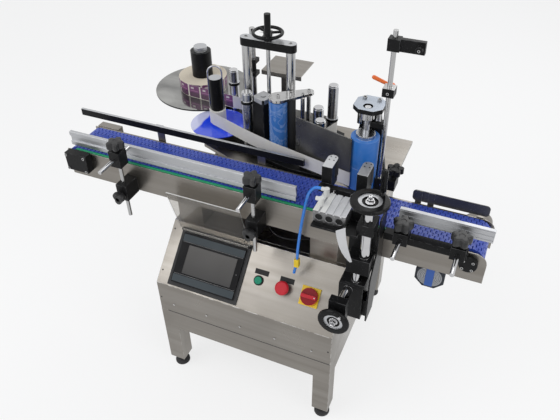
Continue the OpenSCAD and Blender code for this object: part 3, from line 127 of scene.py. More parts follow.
class LabellerSizes(bpy.types.PropertyGroup):
    edge_round: length("Edge rounding", "Rounding of machined and bent edges", 0.0005)
    belt_pitch: length("Belt pitch", "Distance between the hinge pins of the belt", 0.0127)
    belt_depth: length("Belt thickness", "Thickness of a belt module", 0.009)
    belt_radius: length("Belt turn", "Radius of the belt's outside at its ends", 0.034)
    belt_fingers: IntProperty(name="Belt fingers", description="Hinge fingers across a module",
                              default=11, min=4)
    belt_links: IntProperty(name="Belt modules", description="Modules in the loop", default=192, min=8)
    tube_length: length("Air tube", "Length of the air tube from fitting to free end", 0.3637)
    tube_width: length("Air tube diameter", "Outside diameter of the air tube", 0.008)
    cable_length: length("Sensor cable", "Length of the cable on the deck", 0.2262)
    cable_width: length("Sensor cable diameter", "Outside diameter of the cable", 0.006)


class LabellerColours(bpy.types.PropertyGroup):
    stainless: colour("Stainless sheet", "Brushed sheet of cabinet and conveyor", (0.232, 0.212, 0.186))
    steel: colour("Ground steel", "Columns, rods and screws", (0.46, 0.46, 0.46))
    aluminium: colour("Clear anodised", "Rails, posts and cylinder", (0.50, 0.51, 0.53))
    black: colour("Black anodised", "Brackets, blocks and bars", (0.006, 0.006, 0.0065))
    plastic: colour("Black plastic", "Screw sockets, button collars and covers", (0.009, 0.009, 0.0095))
    belt: colour("Belt", "Moulded belt modules", (0.024, 0.066, 0.44))
    strip: colour("Sliding strip", "Strip along the belt", (0.0, 0.30, 0.12))
    rubber: colour("Roller rubber", "Blue roller covers", (0.005, 0.17, 0.60))
    film: colour("Disc film", "Blue film on the waste disc", (0.01, 0.05, 0.80))
    paper: colour("Paper", "Label stock and backing", (0.74, 0.72, 0.68))
    print: colour("Label print", "Plain printed panels of the labels", (0.16, 0.03, 0.14))
    red: colour("Red caps", "Stop button and isolator", (0.62, 0.015, 0.03))
    green: colour("Green cap", "Start button", (0.0, 0.27, 0.15))
    yellow: colour("Yellow plate", "Isolator plate and tube marker", (0.90, 0.62, 0.0))
    orange: colour("Orange lever", "Clamping lever", (0.85, 0.16, 0.02))
    tube: colour("Air tube", "Soft air tube", (0.0, 0.20, 0.75))


class LabellerStudio(bpy.types.PropertyGroup):
    lens: FloatProperty(name="Lens", description="Focal length of the camera", default=38.51,
                        min=10.0, subtype="DISTANCE_CAMERA")
    key: FloatProperty(name="Key light", description="Power of the large lamp", default=34.0,
                       min=0.0, unit="POWER")
    fill: FloatProperty(name="Fill light", description="Power of the other two lamps", default=16.0,
                        min=0.0, unit="POWER")
    sky: FloatProperty(name="Room light", description="Strength of the even room light",
                       default=0.58, min=0.0)
    glow: FloatProperty(name="Backdrop", default=0.72, min=0.0, max=1.0, subtype="FACTOR",
                        description="Share of plain white in the floor that the camera sees")
    floor: colour("Floor", "Pale floor", (0.93, 0.93, 0.93))


class Labeller(bpy.types.PropertyGroup):
    sizes: PointerProperty(type=LabellerSizes, name="Sizes", description="Sizes of the fine detail")
    colours: PointerProperty(type=LabellerColours, name="Colours", description="Colours of the finishes")
    studio: PointerProperty(type=LabellerStudio, name="Studio", description="Camera, lamps and floor")


def sizes():
    return bpy.context.scene.labeller.sizes


def colours():
    return bpy.context.scene.labeller.colours


# Shared surface effects

def plug(tree, node, values):
    """Links each socket to the input of its key and sets each plain value there."""
    for key, value in values.items():
        if isinstance(value, bpy.types.NodeSocket):
            tree.links.new(value, node.inputs[key])
        else:
            node.inputs[key].default_value = value


class Wiring:
    """A node tree under work, with a helper for each kind of node that is used often."""

    def __init__(self, tree):
        self.tree = tree
        tree.nodes.clear()

    def node(self, kind, values=None, **settings):
        made = self.tree.nodes.new(f"ShaderNode{kind}")
        for key, value in settings.items():
            setattr(made, key, value)
        plug(self.tree, made, values or {})
        return made

    def maths(self, operation, *values, **settings):
        return self.node("Math", dict(enumerate(values)), operation=operation, **settings).outputs[0]

    def vectors(self, operation, *values):
        made = self.node("VectorMath", dict(enumerate(values)), operation=operation)
        return made.outputs["Value" if operation == "LENGTH" else 0]

    def noise(self, place, scale, detail=2.0, **values):
        values = {"Vector": place, "Scale": scale, "Detail": detail, **values}
        return self.node("TexNoise", values).outputs[0]

    def ranged(self, value, low, high, to_low=0.0, to_high=1.0):
        values = {"Value": value, "From Min": low, "From Max": high, "To Min": to_low, "To Max": to_high}
        return self.node("MapRange", values).outputs[0]

    def seen_directly(self):
        """1 for rays of the camera, of reflections and of clear sheets, 0 for the object's light."""
        path = self.node("LightPath").outputs
        indirect = self.maths("MAXIMUM", path["Is Glossy Ray"], path["Is Transmission Ray"])
        return self.maths("MAXIMUM", path["Is Camera Ray"], indirect)


class Effect(Wiring):
    """A node group with named inputs and outputs, written once and used by many finishes."""

    def __init__(self, name, inputs, outputs):
        super().__init__(bpy.data.node_groups.new(name, "ShaderNodeTree"))
        for label, default in inputs.items():
            kind = "NodeSocketFloat" if isinstance(default, float) else "NodeSocketVector"
            socket = self.tree.interface.new_socket(name=label, in_out="INPUT", socket_type=kind)
            if default is not None:
                socket.default_value = default
        for label in outputs:
            self.tree.interface.new_socket(name=label, in_out="OUTPUT", socket_type="NodeSocketFloat")
        self.source = self.tree.nodes.new("NodeGroupInput")
        self.sink = self.tree.nodes.new("NodeGroupOutput")

    def given(self, label):
        return self.source.outputs[label]

    def result(self, label, socket):
        self.tree.links.new(socket, self.sink.inputs[label])


def brushed_lines():
    """Fine parallel lines of a brushed or turned metal, stretched along one axis."""
    e = Effect("brushed_lines", {"Place": None, "Stretch": (1, 1, 1)}, ("Lines", "Bands"))
    scaled = e.vectors("MULTIPLY", e.given("Place"), e.given("Stretch"))
    e.result("Lines", e.noise(scaled, 1.0, 5.0, Roughness=0.7))
    e.result("Bands", e.noise(scaled, 0.12))
    return e.tree


def handling_marks():
    """Cloudy smudges and a few small specks from handling."""
    e = Effect("handling_marks", {"Place": None, "Size": 6.0}, ("Smudge", "Specks"))
    place, size = e.given("Place"), e.given("Size")
    cloud = e.noise(place, size, 4.0, Distortion=0.6)
    dots = e.noise(place, e.maths("MULTIPLY", size, 40.0), 1.0)
    e.result("Smudge", e.ranged(cloud, 0.35, 0.7))
    e.result("Specks", e.ranged(dots, 0.68, 0.74))
    return e.tree


def moulded_skin():
    """The fine pebbled skin of moulded plastic, rubber or powder paint, and its broad mottling."""
    e = Effect("moulded_skin", {"Place": None, "Size": 900.0}, ("Height", "Mottle"))
    place, size = e.given("Place"), e.given("Size")
    e.result("Height", e.noise(place, size))
    e.result("Mottle", e.noise(place, e.maths("MULTIPLY", size, 0.04), 3.0))
    return e.tree


def worn_edges():
    """Where rounded edges have rubbed through, from the piece's own edge attribute."""
    e = Effect("worn_edges", {"Edge": 0.0, "Place": None, "Amount": 0.5}, ("Worn",))
    patchy = e.ranged(e.noise(e.given("Place"), 70.0, 3.0), 0.42, 0.62)
    edge = e.maths("MULTIPLY", e.given("Edge"), patchy)
    e.result("Worn", e.maths("MULTIPLY", edge, e.given("Amount")))
    return e.tree


def panel_area():
    """1 inside a box about its middle, with round corners seen from above, and 0 outside it."""
    inputs = {"Place": None, "Middle": (0, 0, 0), "Half": (1, 1, 1), "Corner": 0.001}
    e = Effect("panel_area", inputs, ("Inside",))
    corner = e.given("Corner")
    off = e.vectors("ABSOLUTE", e.vectors("SUBTRACT", e.given("Place"), e.given("Middle")))
    radius = e.node("CombineXYZ", {"X": corner, "Y": corner}).outputs[0]
    past = e.vectors("SUBTRACT", off, e.vectors("SUBTRACT", e.given("Half"), radius))
    far = e.vectors("LENGTH", e.vectors("MAXIMUM", past, (0, 0, 0)))
    e.result("Inside", e.maths("LESS_THAN", far, corner))
    return e.tree


EFFECTS = {}


def effect(maker):
    """The node group of that maker, made the first time that it is asked for."""
    if maker not in EFFECTS:
        EFFECTS[maker] = maker()
    return EFFECTS[maker]


# Finishes

class Finish(Wiring):
    """One material: a Principled shader, the piece's own coordinates and helpers to wire them."""

    def __init__(self, name, base, roughness, metallic=0.0, **sockets):
        self.material = bpy.data.materials.new(name)
        self.material.use_nodes = True
        super().__init__(self.material.node_tree)
        self.exit = self.node("OutputMaterial")
        values = {"Base Color": (*base, 1), "Roughness": roughness, "Metallic": metallic}
        self.shader = self.node("BsdfPrincipled", values)
        self.tree.links.new(self.shader.outputs[0], self.exit.inputs[0])
        self.base, self.tone = tuple(base), (*base, 1)
        for label, value in sockets.items():
            self.shader.inputs[label.replace("_", " ")].default_value = value
        self.material.diffuse_color = (*base, 1)
        self.place = self.node("TexCoord").outputs["Object"]

    def use(self, maker, **values):
        """The outputs of a shared effect, laid on the piece's own coordinates unless told otherwise."""
        return self.node("Group", {"Place": self.place, **values}, node_tree=effect(maker)).outputs

    def away(self, middle, kept=(1, 1, 1)):
        """The distance from a point, along the axes that are kept."""
        off = self.vectors("SUBTRACT", self.place, tuple(middle))
        return self.vectors("LENGTH", self.vectors("MULTIPLY", off, kept))

    def blend(self, mask, other, amount=1.0):
        """Mixes another colour over the base where the mask is 1."""
        share = self.maths("MULTIPLY", mask, amount, use_clamp=True)
        other = other if isinstance(other, bpy.types.NodeSocket) else (*other, 1)
        mix = self.node("Mix", {"Factor": share, 6: self.tone, 7: other}, data_type="RGBA")
        self.tone = mix.outputs[2]
        self.tree.links.new(self.tone, self.shader.inputs["Base Color"])

    def vary_roughness(self, mask, low, high):
        """Drives the roughness between low and high by a mask."""
        self.tree.links.new(self.ranged(mask, 0.0, 1.0, low, high), self.shader.inputs["Roughness"])

    def relief(self, height, distance, strength=0.5):
        before = self.shader.inputs["Normal"].links
        values = {"Height": height, "Distance": distance, "Strength": strength}
        if before:
            values["Normal"] = before[0].from_socket
        bump = self.node("Bump", values)
        self.tree.links.new(bump.outputs[0], self.shader.inputs["Normal"])

    def wear(self, other, amount):
        """Shows another colour where the edges have rubbed through."""
        edge = self.node("Attribute", attribute_name="edge").outputs["Fac"]
        self.blend(self.use(worn_edges, Edge=edge, Amount=amount)["Worn"], other)


def darker(c, share):
    return tuple(v * share for v in c)


def lighter(c, share):
    return tuple(v + (1 - v) * share for v in c)


def brushed(name, base, stretch, roughness, depth=0.00002, tone=0.25):
    """Brushed or ground metal: lines along one axis, cloudy smudges, brighter edges."""
    f = Finish(name, base, roughness, 1.0)
    lines, marks = f.use(brushed_lines, Stretch=stretch), f.use(handling_marks, Size=5.0)
    f.blend(lines["Lines"], darker(base, 1 - tone))
    f.blend(marks["Smudge"], darker(base, 0.72), 0.5)
    f.blend(lines["Bands"], lighter(base, 0.22), 0.5)
    f.vary_roughness(marks["Smudge"], roughness * 0.8, roughness * 1.35)
    f.relief(lines["Lines"], depth, 0.35)
    f.wear(lighter(base, 0.5), 0.7)
    return f.material


def anodised(name, base, roughness=0.34, worn=(0.35, 0.35, 0.36), amount=0.35):
    """Anodised or painted metal with a faint grain, smudges and rubbed edges."""
    f = Finish(name, base, roughness, Specular_IOR_Level=0.12)
    skin, lines = f.use(moulded_skin, Size=1400.0), f.use(brushed_lines, Stretch=(260, 260, 260))
    marks = f.use(handling_marks, Size=9.0)
    f.blend(marks["Smudge"], lighter(base, 0.008), 0.8)
    f.blend(marks["Specks"], lighter(base, 0.1), 0.4)
    f.vary_roughness(lines["Lines"], roughness * 0.75, roughness * 1.3)
    f.relief(skin["Height"], 0.00002, 0.25)
    f.wear(worn, amount)
    return f.material


def moulded(name, base, roughness=0.42, skin_size=1100.0, depth=0.00004, amount=0.25, **sockets):
    """Moulded plastic or rubber with its fine skin and scuffed edges."""
    f = Finish(name, base, roughness, **sockets)
    skin, marks = f.use(moulded_skin, Size=skin_size), f.use(handling_marks, Size=12.0)
    f.blend(skin["Mottle"], darker(base, 0.8), 0.5)
    f.blend(marks["Smudge"], lighter(base, 0.02), 0.6)
    f.vary_roughness(marks["Smudge"], roughness * 0.85, min(1.0, roughness * 1.25))
    f.relief(skin["Height"], depth, 0.4)
    f.wear(lighter(base, 0.25), amount)
    return f.material


def finish_belt():
    """Moulded belt plastic, dulled along its run and scuffed white at the edges."""
    f = Finish("belt_plastic", colours().belt, 0.36, Specular_IOR_Level=0.35)
    skin, marks = f.use(moulded_skin, Size=700.0), f.use(handling_marks, Size=16.0)
    lines = f.use(brushed_lines, Stretch=(14, 520, 520))
    f.blend(marks["Smudge"], lighter(f.base, 0.08), 0.5)
    f.blend(lines["Lines"], lighter(f.base, 0.10), 0.3)
    f.blend(marks["Specks"], lighter(f.base, 0.4), 0.4)
    f.vary_roughness(marks["Smudge"], 0.28, 0.5)
    f.relief(skin["Height"], 0.00005, 0.3)
    f.relief(lines["Lines"], 0.00004, 0.25)
    f.wear(lighter(f.base, 0.45), 0.5)
    return f.material


def finish_rubber():
    """Cast roller rubber, turned to size."""
    f = Finish("cast_rubber", colours().rubber, 0.45)
    turned, marks = f.use(brushed_lines, Stretch=(40, 40, 900)), f.use(handling_marks, Size=14.0)
    f.blend(turned["Lines"], darker(f.base, 0.82), 0.5)
    f.blend(marks["Smudge"], lighter(f.base, 0.14), 0.6)
    f.vary_roughness(marks["Smudge"], 0.38, 0.6)
    f.relief(turned["Lines"], 0.00004, 0.3)
    f.wear(lighter(f.base, 0.4), 0.5)
    return f.material


def finish_wrapped_rubber():
    """Roller rubber still wrapped in creased clear film, with a painted pale highlight along the creases."""
    f = Finish("film_wrapped_rubber", lighter(darker(colours().rubber, 0.8), 0.04), 0.16,
               Coat_Weight=0.6, Coat_Roughness=0.06)
    bent = f.node("TexNoise", {"Vector": f.place, "Scale": 9.0, "Detail": 2.0}).outputs[1]
    warped = f.vectors("MULTIPLY_ADD", bent, (0.12, 0.12, 0.12), f.place)
    folds = f.noise(warped, 28.0, 3.0, Distortion=1.2)
    ridge = f.maths("ABSOLUTE", f.maths("SUBTRACT", folds, 0.5))
    crease_and_highlight = f.ranged(ridge, 0.0, 0.05, 1.0, 0.0)
    # Painted highlight: the crease lines are mixed towards pale blue.
    f.blend(crease_and_highlight, (0.45, 0.60, 0.85), 0.30)
    f.vary_roughness(folds, 0.08, 0.3)
    f.relief(crease_and_highlight, 0.0006, 0.6)
    f.relief(folds, 0.002, 0.5)
    return f.material


def finish_mirror_disc():
    """Polished disc of the supply roll."""
    f = Finish("polished_disc", (0.16, 0.16, 0.16), 0.06, 1.0)
    marks, turned = f.use(handling_marks, Size=11.0), f.use(brushed_lines, Stretch=(9, 130, 9))
    f.blend(turned["Bands"], (0.50, 0.50, 0.48), 0.9)
    f.blend(marks["Smudge"], (0.07, 0.07, 0.07), 0.55)
    f.vary_roughness(marks["Smudge"], 0.04, 0.16)
    return f.material


def finish_waste_disc():
    """Clear disc whose blue cover film still hides all but one side."""
    f = Finish("film_on_clear_disc", colours().film, 0.12, Coat_Weight=0.5)
    shifted = f.vectors("SUBTRACT", f.place, tuple(at(*WASTE_AXIS, 737)))
    across = f.node("SeparateXYZ", {0: shifted}).outputs["X"]
    edge = f.maths("MULTIPLY_ADD", f.noise(f.place, 14.0), 0.03, across)
    bare = f.ranged(edge, -0.034, -0.028, 1.0, 0.0)
    marks = f.use(handling_marks, Size=18.0)
    f.blend(marks["Smudge"], (0.05, 0.14, 0.9), 0.5)
    f.blend(bare, (0.60, 0.62, 0.86))
    f.vary_roughness(marks["Smudge"], 0.06, 0.22)
    return f.material


def finish_smoked():
    """Smoked clear sheet of the flip cover, with a painted highlight along its rounded edges."""
    f = Finish("smoked_clear", (0.62, 0.60, 0.57), 0.05, Transmission_Weight=0.93, IOR=1.2)
    edge = f.node("Attribute", attribute_name="edge").outputs["Fac"]
    # Painted highlight: the rounded edges are mixed towards near-white.
    f.blend(edge, (0.95, 0.95, 0.93), 0.8)
    f.vary_roughness(f.use(handling_marks, Size=10.0)["Smudge"], 0.02, 0.10)
    return f.material


def finish_paper():
    """Backing paper of the label web, faintly wavy."""
    f = Finish("label_backing", colours().paper, 0.5, Sheen_Weight=0.1)
    fibre, marks = f.use(moulded_skin, Size=1500.0), f.use(handling_marks, Size=20.0)
    f.blend(fibre["Mottle"], darker(f.base, 0.93), 0.8)
    f.blend(marks["Smudge"], lighter(f.base, 0.3), 0.4)
    f.relief(fibre["Height"], 0.00002, 0.3)
    f.relief(marks["Smudge"], 0.0008, 0.25)
    return f.material


def finish_roll_side():
    """The wound side of the roll: one ring per layer of paper."""
    f = Finish("wound_paper_side", (0.70, 0.62, 0.48), 0.75)
    radius = f.away(at(*SUPPLY_AXIS, 0), (1, 1, 0))
    rings, wide = (f.node("TexNoise", {"W": radius, "Scale": scale, "Detail": detail},
                          noise_dimensions="1D").outputs[0]
                   for scale, detail in ((1500.0, 3.0), (160.0, 2.0)))
    f.blend(rings, (0.42, 0.34, 0.25), 0.55)
    f.blend(wide, (0.86, 0.80, 0.70), 0.6)
    f.relief(rings, 0.0002, 0.5)
    return f.material


def finish_roll_print():
    """The roll's outside: plain printed panels with round corners on cream stock."""
    f = Finish("printed_labels", (0.74, 0.70, 0.62), 0.35, Coat_Weight=0.3)
    around = f.node("UVMap", uv_map="around").outputs[0]
    label = f.vectors("FRACTION", around)

    def panel(middle, half, corner):
        return f.use(panel_area, Place=label, Middle=(*middle, 0), Half=(*half, 9.0), Corner=corner)[0]

    body = panel((0.5, 0.5), (0.45, 0.46), 0.10)
    lower = f.maths("MULTIPLY", body, panel((0.5, 0.20), (0.5, 0.21), 0.001))
    f.blend(body, colours().print)
    f.blend(lower, darker(colours().print, 0.42))
    f.blend(panel((0.36, 0.74), (0.12, 0.07), 0.02), (0.66, 0.60, 0.60), 0.9)
    f.blend(panel((0.5, 0.54), (0.32, 0.025), 0.01), (0.45, 0.20, 0.36), 0.8)
    f.vary_roughness(f.use(handling_marks, Size=30.0)["Smudge"], 0.22, 0.45)
    f.relief(body, 0.0001, 0.5)
    return f.material


def finish_touch_panel():
    """Bezel with its two grey bands, dark glass and the screen set into it."""
    f = Finish("touch_panel_face", (0.006, 0.006, 0.007), 0.4, Specular_IOR_Level=0.1)
    turned = f.node("Mapping", {"Vector": f.place, "Location": tuple(SLOPE_FOOT), "Rotation": (SLOPE, 0, 0)},
                    vector_type="TEXTURE").outputs[0]
    parts = f.node("SeparateXYZ", {0: turned}).outputs
    band_grey, screen_low, screen_high = (0.060, 0.072, 0.080), 48, 133

    def area(x0, x1, v0, v1, corner=0.0008):
        return f.use(panel_area, Place=turned, Middle=((x0 + x1) / 2 * MM, (v0 + v1) / 2 * MM, 0),
                     Half=((x1 - x0) / 2 * MM, (v1 - v0) / 2 * MM, 9.0), Corner=corner)[0]

    dash = f.maths("PINGPONG", f.maths("MULTIPLY", parts["X"], 620.0), 1.0)
    on = f.maths("GREATER_THAN", dash, 0.45)
    for v in (141, 20):
        f.blend(area(50, 250, v, v + 21), band_grey)
    for v in (43.5, 139.5):
        line = f.maths("MULTIPLY", area(52, 248, v - 0.5, v + 0.5, 0.0001), on)
        f.blend(line, (0.45, 0.45, 0.45), 0.8)
    # Painted sheen: the screen's grey brightens from 0.075 to 0.125 towards its top.
    shade = f.ranged(parts["Y"], screen_low * MM, screen_high * MM)
    glow = f.node("Mix", {"Factor": shade, 6: (0.075, 0.073, 0.072, 1), 7: (0.125, 0.12, 0.115, 1)},
                  data_type="RGBA")
    f.blend(area(75, 233, screen_low, screen_high), glow.outputs[2])
    f.blend(area(241, 243, 88, 90, 0.0009), (0.5, 0.5, 0.5))
    f.vary_roughness(f.use(handling_marks, Size=14.0)["Smudge"], 0.3, 0.5)
    f.wear((0.05, 0.05, 0.05), 0.4)
    return f.material


def finish_motor_face():
    """Fan guard of the gear motor: fine grille with a plain blue band across."""
    f = Finish("motor_fan_guard", (0.16, 0.165, 0.17), 0.45, 0.2)
    middle = at(GEAR_MOTOR_X, 0, GEAR_MOTOR_Z)
    ring = f.maths("PINGPONG", f.maths("MULTIPLY", f.away(middle, (1, 0, 1)), 330.0), 1.0)
    dark = f.maths("GREATER_THAN", ring, 0.5)
    f.blend(dark, (0.02, 0.02, 0.025), 0.85)
    f.blend(f.use(panel_area, Middle=tuple(middle), Half=(0.009, 9.0, 0.04))[0], (0.01, 0.10, 0.42))
    f.relief(dark, 0.001, 0.5)
    return f.material


def finish_cloudy_plate():
    """Dark grey anodised sheet with the streaks and finger marks of use."""
    f = Finish("dark_grey_plate", (0.105, 0.103, 0.098), 0.36, 0.7)
    lines, marks = f.use(brushed_lines, Stretch=(22, 22, 500)), f.use(handling_marks, Size=13.0)
    f.blend(marks["Smudge"], (0.16, 0.158, 0.15), 0.8)
    f.blend(lines["Lines"], (0.07, 0.068, 0.065), 0.5)
    f.blend(marks["Specks"], (0.35, 0.34, 0.33), 0.6)
    f.vary_roughness(marks["Smudge"], 0.26, 0.45)
    f.wear((0.5, 0.5, 0.5), 0.6)
    return f.material


FINISHES = {}


def finish(name):
    """The material of that name, made the first time that it is asked for."""
    c = colours()
    makers = {
        "stainless": lambda: brushed("brushed_stainless", c.stainless, (9, 420, 420), 0.33),
        "stainless_deep": lambda: brushed("brushed_stainless_across", c.stainless, (420, 9, 420), 0.33),
        "stainless_upright": lambda: brushed("brushed_stainless_upright", c.stainless, (420, 420, 9), 0.35),
        "steel": lambda: brushed("ground_steel", c.steel, (420, 420, 12), 0.17, 0.00001, 0.18),
        "steel_turned": lambda: brushed("turned_steel", c.steel, (60, 60, 700), 0.2, 0.00002, 0.2),
        "chrome": lambda: brushed("polished_chrome", (0.52, 0.52, 0.53), (90, 90, 500), 0.1, 0.000004, 0.08),
        "aluminium": lambda: brushed("clear_anodised", c.aluminium, (14, 500, 500), 0.44, tone=0.22),
        "aluminium_post": lambda: brushed("clear_anodised_post", c.aluminium, (480, 480, 9), 0.26, tone=0.3),
        # Grey-blue for the top of the black wrap bridge: a painted sheen, the sky's reflection painted into
        # its colour.
        "grey_sheen": lambda: brushed("grey_anodised_top", (0.34, 0.38, 0.44), (30, 420, 420), 0.4, 0.00001,
                                      0.15),
        "cast_grey": lambda: brushed("cast_grey", (0.15, 0.15, 0.155), (200, 14, 200), 0.42, tone=0.2),
        "black": lambda: anodised("black_anodised", c.black),
        "black_gloss": lambda: anodised("black_gloss_paint", c.black, 0.13, (0.3, 0.3, 0.3), 0.2),
        "motor_body": lambda: anodised("motor_paint", (0.035, 0.04, 0.05), 0.4),
        "plastic": lambda: moulded("black_plastic", c.plastic, Specular_IOR_Level=0.2),
        "black_rubber": lambda: moulded("black_rubber", (0.02, 0.02, 0.021), 0.7, 600.0, 0.0001),
        "knob_plastic": lambda: moulded("knob_plastic", (0.016, 0.016, 0.017), 0.38, 800.0, 0.00006, 0.3,
                                        Specular_IOR_Level=0.4),
        "strip": lambda: moulded("green_sliding_strip", c.strip, 0.4),
        "guard_grey": lambda: moulded("guard_grey", (0.36, 0.37, 0.39), 0.4, amount=0.2),
        "motor_band": lambda: moulded("motor_band", (0.01, 0.09, 0.40), 0.35, amount=0.1),
        # Near-white for the thin rim faces of the flip cover: a painted highlight along the sheet's edges.
        "rim_highlight": lambda: moulded("polished_rim", (0.72, 0.72, 0.70), 0.3, amount=0.5),
        "tag_paper": lambda: moulded("tag_paper", (0.62, 0.62, 0.63), 0.55, 1500.0, 0.00002, 0.1),
        "red": lambda: moulded("red_plastic", c.red, 0.36, amount=0.15, Specular_IOR_Level=0.25),
        "red_shade": lambda: moulded("red_plastic_shade", darker(c.red, 0.45), 0.4, amount=0.1,
                                     Specular_IOR_Level=0.2),
        "green": lambda: moulded("green_plastic", c.green, 0.3, amount=0.15, Specular_IOR_Level=0.2),
        "yellow": lambda: moulded("yellow_plastic", c.yellow, 0.4, amount=0.15),
        "orange": lambda: moulded("orange_plastic", c.orange, 0.4),
        "tube": lambda: moulded("air_tube_plastic", c.tube, 0.22, depth=0.00001, Coat_Weight=0.3),
        "white": lambda: moulded("white_plastic", (0.75, 0.75, 0.73), 0.4),
        "belt": finish_belt,
        "rubber": finish_rubber,
        "wrapped_rubber": finish_wrapped_rubber,
        "mirror_disc": finish_mirror_disc,
        "waste_disc": finish_waste_disc,
        "smoked": finish_smoked,
        "dark_grey": finish_cloudy_plate,
        "paper": finish_paper,
        "roll_side": finish_roll_side,
        "roll_print": finish_roll_print,
        "touch_panel": finish_touch_panel,
        "motor_face": finish_motor_face,
    }
    if name not in FINISHES:
        FINISHES[name] = makers[name]()
    return FINISHES[name]


# Pieces

CAD_WELD, TURNED_WELD, ROLL_WELD = 0.000002, 0.000003, 0.000005
SHARP, FLAT, SMOOTH = math.radians(33), math.radians(0.6), math.radians(35)
THIN_SHARE, LEAST_ROUNDING = 0.16, 0.00005


def within(x0, x1, y0, y1, z0, z1):
    """Tests whether a whole face lies in a box given in millimetres."""
    low, high = at(x0, y0, z0), at(x1, y1, z1)
    return lambda face: all(a <= c <= b for v in face.verts for a, c, b in zip(low, v.co, high))


def inside(x0, x1, y0, y1, z0, z1):
    """Tests whether a face's middle lies in a box given in millimetres."""
    low, high = at(x0, y0, z0), at(x1, y1, z1)
    return lambda face: all(a <= c <= b for a, c, b in zip(low, face.calc_center_median(), high))


def ring_about(x, y, r0, r1, z0, z1, up=False):
    """Tests whether a face's middle lies between two radii about an upright axis, and faces up if told."""
    middle = at(x, y, 0)

    def test(face):
        c = face.calc_center_median()
        return (r0 * MM <= (c.xy - middle.xy).length <= r1 * MM and z0 * MM <= c.z <= z1 * MM
                and (not up or face.normal.z > 0.5))
    return test


def round_within(x, y, r0, r1, z0, z1):
    """Tests whether all of a face lies between two radii about an upright axis."""
    middle = at(x, y, 0)
    return lambda face: all(r0 * MM <= (v.co.xy - middle.xy).length <= r1 * MM
                            and z0 * MM <= v.co.z <= z1 * MM for v in face.verts)


def on_console(x0, x1, v0, v1, w0, w1):
    """Tests whether a face's middle lies in a box given on the console's slope."""
    back = Matrix.Rotation(-SLOPE, 3, "X")

    def test(face):
        c = (back @ (face.calc_center_median() - SLOPE_FOOT)) / MM
        return x0 <= c.x <= x1 and v0 <= c.y <= v1 and w0 <= c.z <= w1
    return test


def facing(axis, sign=1):
    """Tests whether a face looks along an axis, or against it where the sign is -1."""
    return lambda face: face.normal[axis] * sign > 0.7


def lid_above(z):
    """Tests whether a face looks up and lies above a height in millimetres."""
    return lambda face: face.normal.z > 0.9 and face.calc_center_median().z > z * MM


def loose_parts(bm):
    """The vertices of each part that touches no other."""
    bm.verts.ensure_lookup_table()
    seen, parts = set(), []
    for start in bm.verts:
        if start.index in seen:
            continue
        stack, part = [start], []
        seen.add(start.index)
        while stack:
            vert = stack.pop()
            part.append(vert)
            for edge in vert.link_edges:
                other = edge.other_vert(vert)
                if other.index not in seen:
                    seen.add(other.index)
                    stack.append(other)
        parts.append(part)
    return parts


def round_edges(bm, width, segments=2):
    """Rounds the sharp edges of each loose part and notes where, for the wear of its edges."""
    mark = bm.faces.layers.float.get("rounded") or bm.faces.layers.float.new("rounded")
    for part in loose_parts(bm):
        spread = [max(v.co[i] for v in part) - min(v.co[i] for v in part) for i in range(3)]
        offset = min(width, THIN_SHARE * min(spread))
        edges = {e for v in part for e in v.link_edges if e.is_manifold and e.calc_face_angle(0) > SHARP}
        if not edges or offset < LEAST_ROUNDING:
            continue
        made = bmesh.ops.bevel(bm, geom=list(edges), offset=offset, offset_type="OFFSET", segments=segments,
                               profile=0.5, affect="EDGES", clamp_overlap=False, material=-1)
        for face in made["faces"]:
            face[mark] = 1.0


def settle(bm, name, body, finishes, replaces=()):
    """Turns a mesh under work into a finished object that rides on its CAD body."""
    mesh = bpy.data.meshes.new(name)
    mark = bm.faces.layers.float.get("rounded")
    rounded = [face[mark] for face in bm.faces] if mark else None
    bm.to_mesh(mesh)
    bm.free()
    if rounded:
        edge = mesh.attributes.new("edge", "FLOAT", "CORNER")
        values = [value for polygon, value in zip(mesh.polygons, rounded) for _ in polygon.loop_indices]
        edge.data.foreach_set("value", values)
        mesh.attributes.remove(mesh.attributes["rounded"])
    for kind in finishes:
        mesh.materials.append(finish(kind))
    for polygon in mesh.polygons:
        polygon.use_smooth = True
    mesh.set_sharp_from_angle(angle=SMOOTH)
    piece = bpy.data.objects.new(name, mesh)
    bpy.context.scene.collection.objects.link(piece)
    piece.modifiers.new("even_shading", "WEIGHTED_NORMAL").keep_sharp = True
    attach(piece, body)
    if replaces:
        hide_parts(*replaces)
    return piece


def dress(node, base, patches=(), width=None, segments=2):
    """A dressed copy of a CAD node: merged, its edges rounded and its parts given their finishes.

    patches is a list of (test, finish); the last test that a face passes names its finish.
    """
    bm = bmesh.new()
    bm.from_mesh(NODES[node].data)
    bmesh.ops.remove_doubles(bm, verts=bm.verts, dist=CAD_WELD)
    bmesh.ops.dissolve_limit(bm, angle_limit=FLAT, use_dissolve_boundaries=False, verts=bm.verts,
                             edges=bm.edges)
    finishes = [base]
    for test, kind in patches:
        if kind not in finishes:
            finishes.append(kind)
        for face in bm.faces:
            if test(face):
                face.material_index = finishes.index(kind)
    round_edges(bm, sizes().edge_round if width is None else width, segments)
    return settle(bm, f"{node}_dressed", BODY_OF[node], finishes, [node])


def settle_instead(bm, node, ending, finishes):
    """Settles a mesh made afresh in the place of a CAD node."""
    return settle(bm, f"{node}_{ending}", BODY_OF[node], finishes, [node])


def paint(verts, material):
    """Gives the faces round some vertices one of the piece's finishes."""
    for face in {f for v in verts for f in v.link_faces}:
        face.material_index = material


def add_profile(bm, outline, low, high, place=UPRIGHT):
    """Extrudes a flat outline between two heights and puts it in place."""
    verts = [bm.verts.new((x, y, low)) for x, y in outline]
    out = bmesh.ops.extrude_face_region(bm, geom=[bm.faces.new(verts)])
    moved = [v for v in out["geom"] if isinstance(v, bmesh.types.BMVert)]
    bmesh.ops.translate(bm, verts=moved, vec=(0, 0, high - low))
    bmesh.ops.transform(bm, matrix=place, verts=verts + moved)


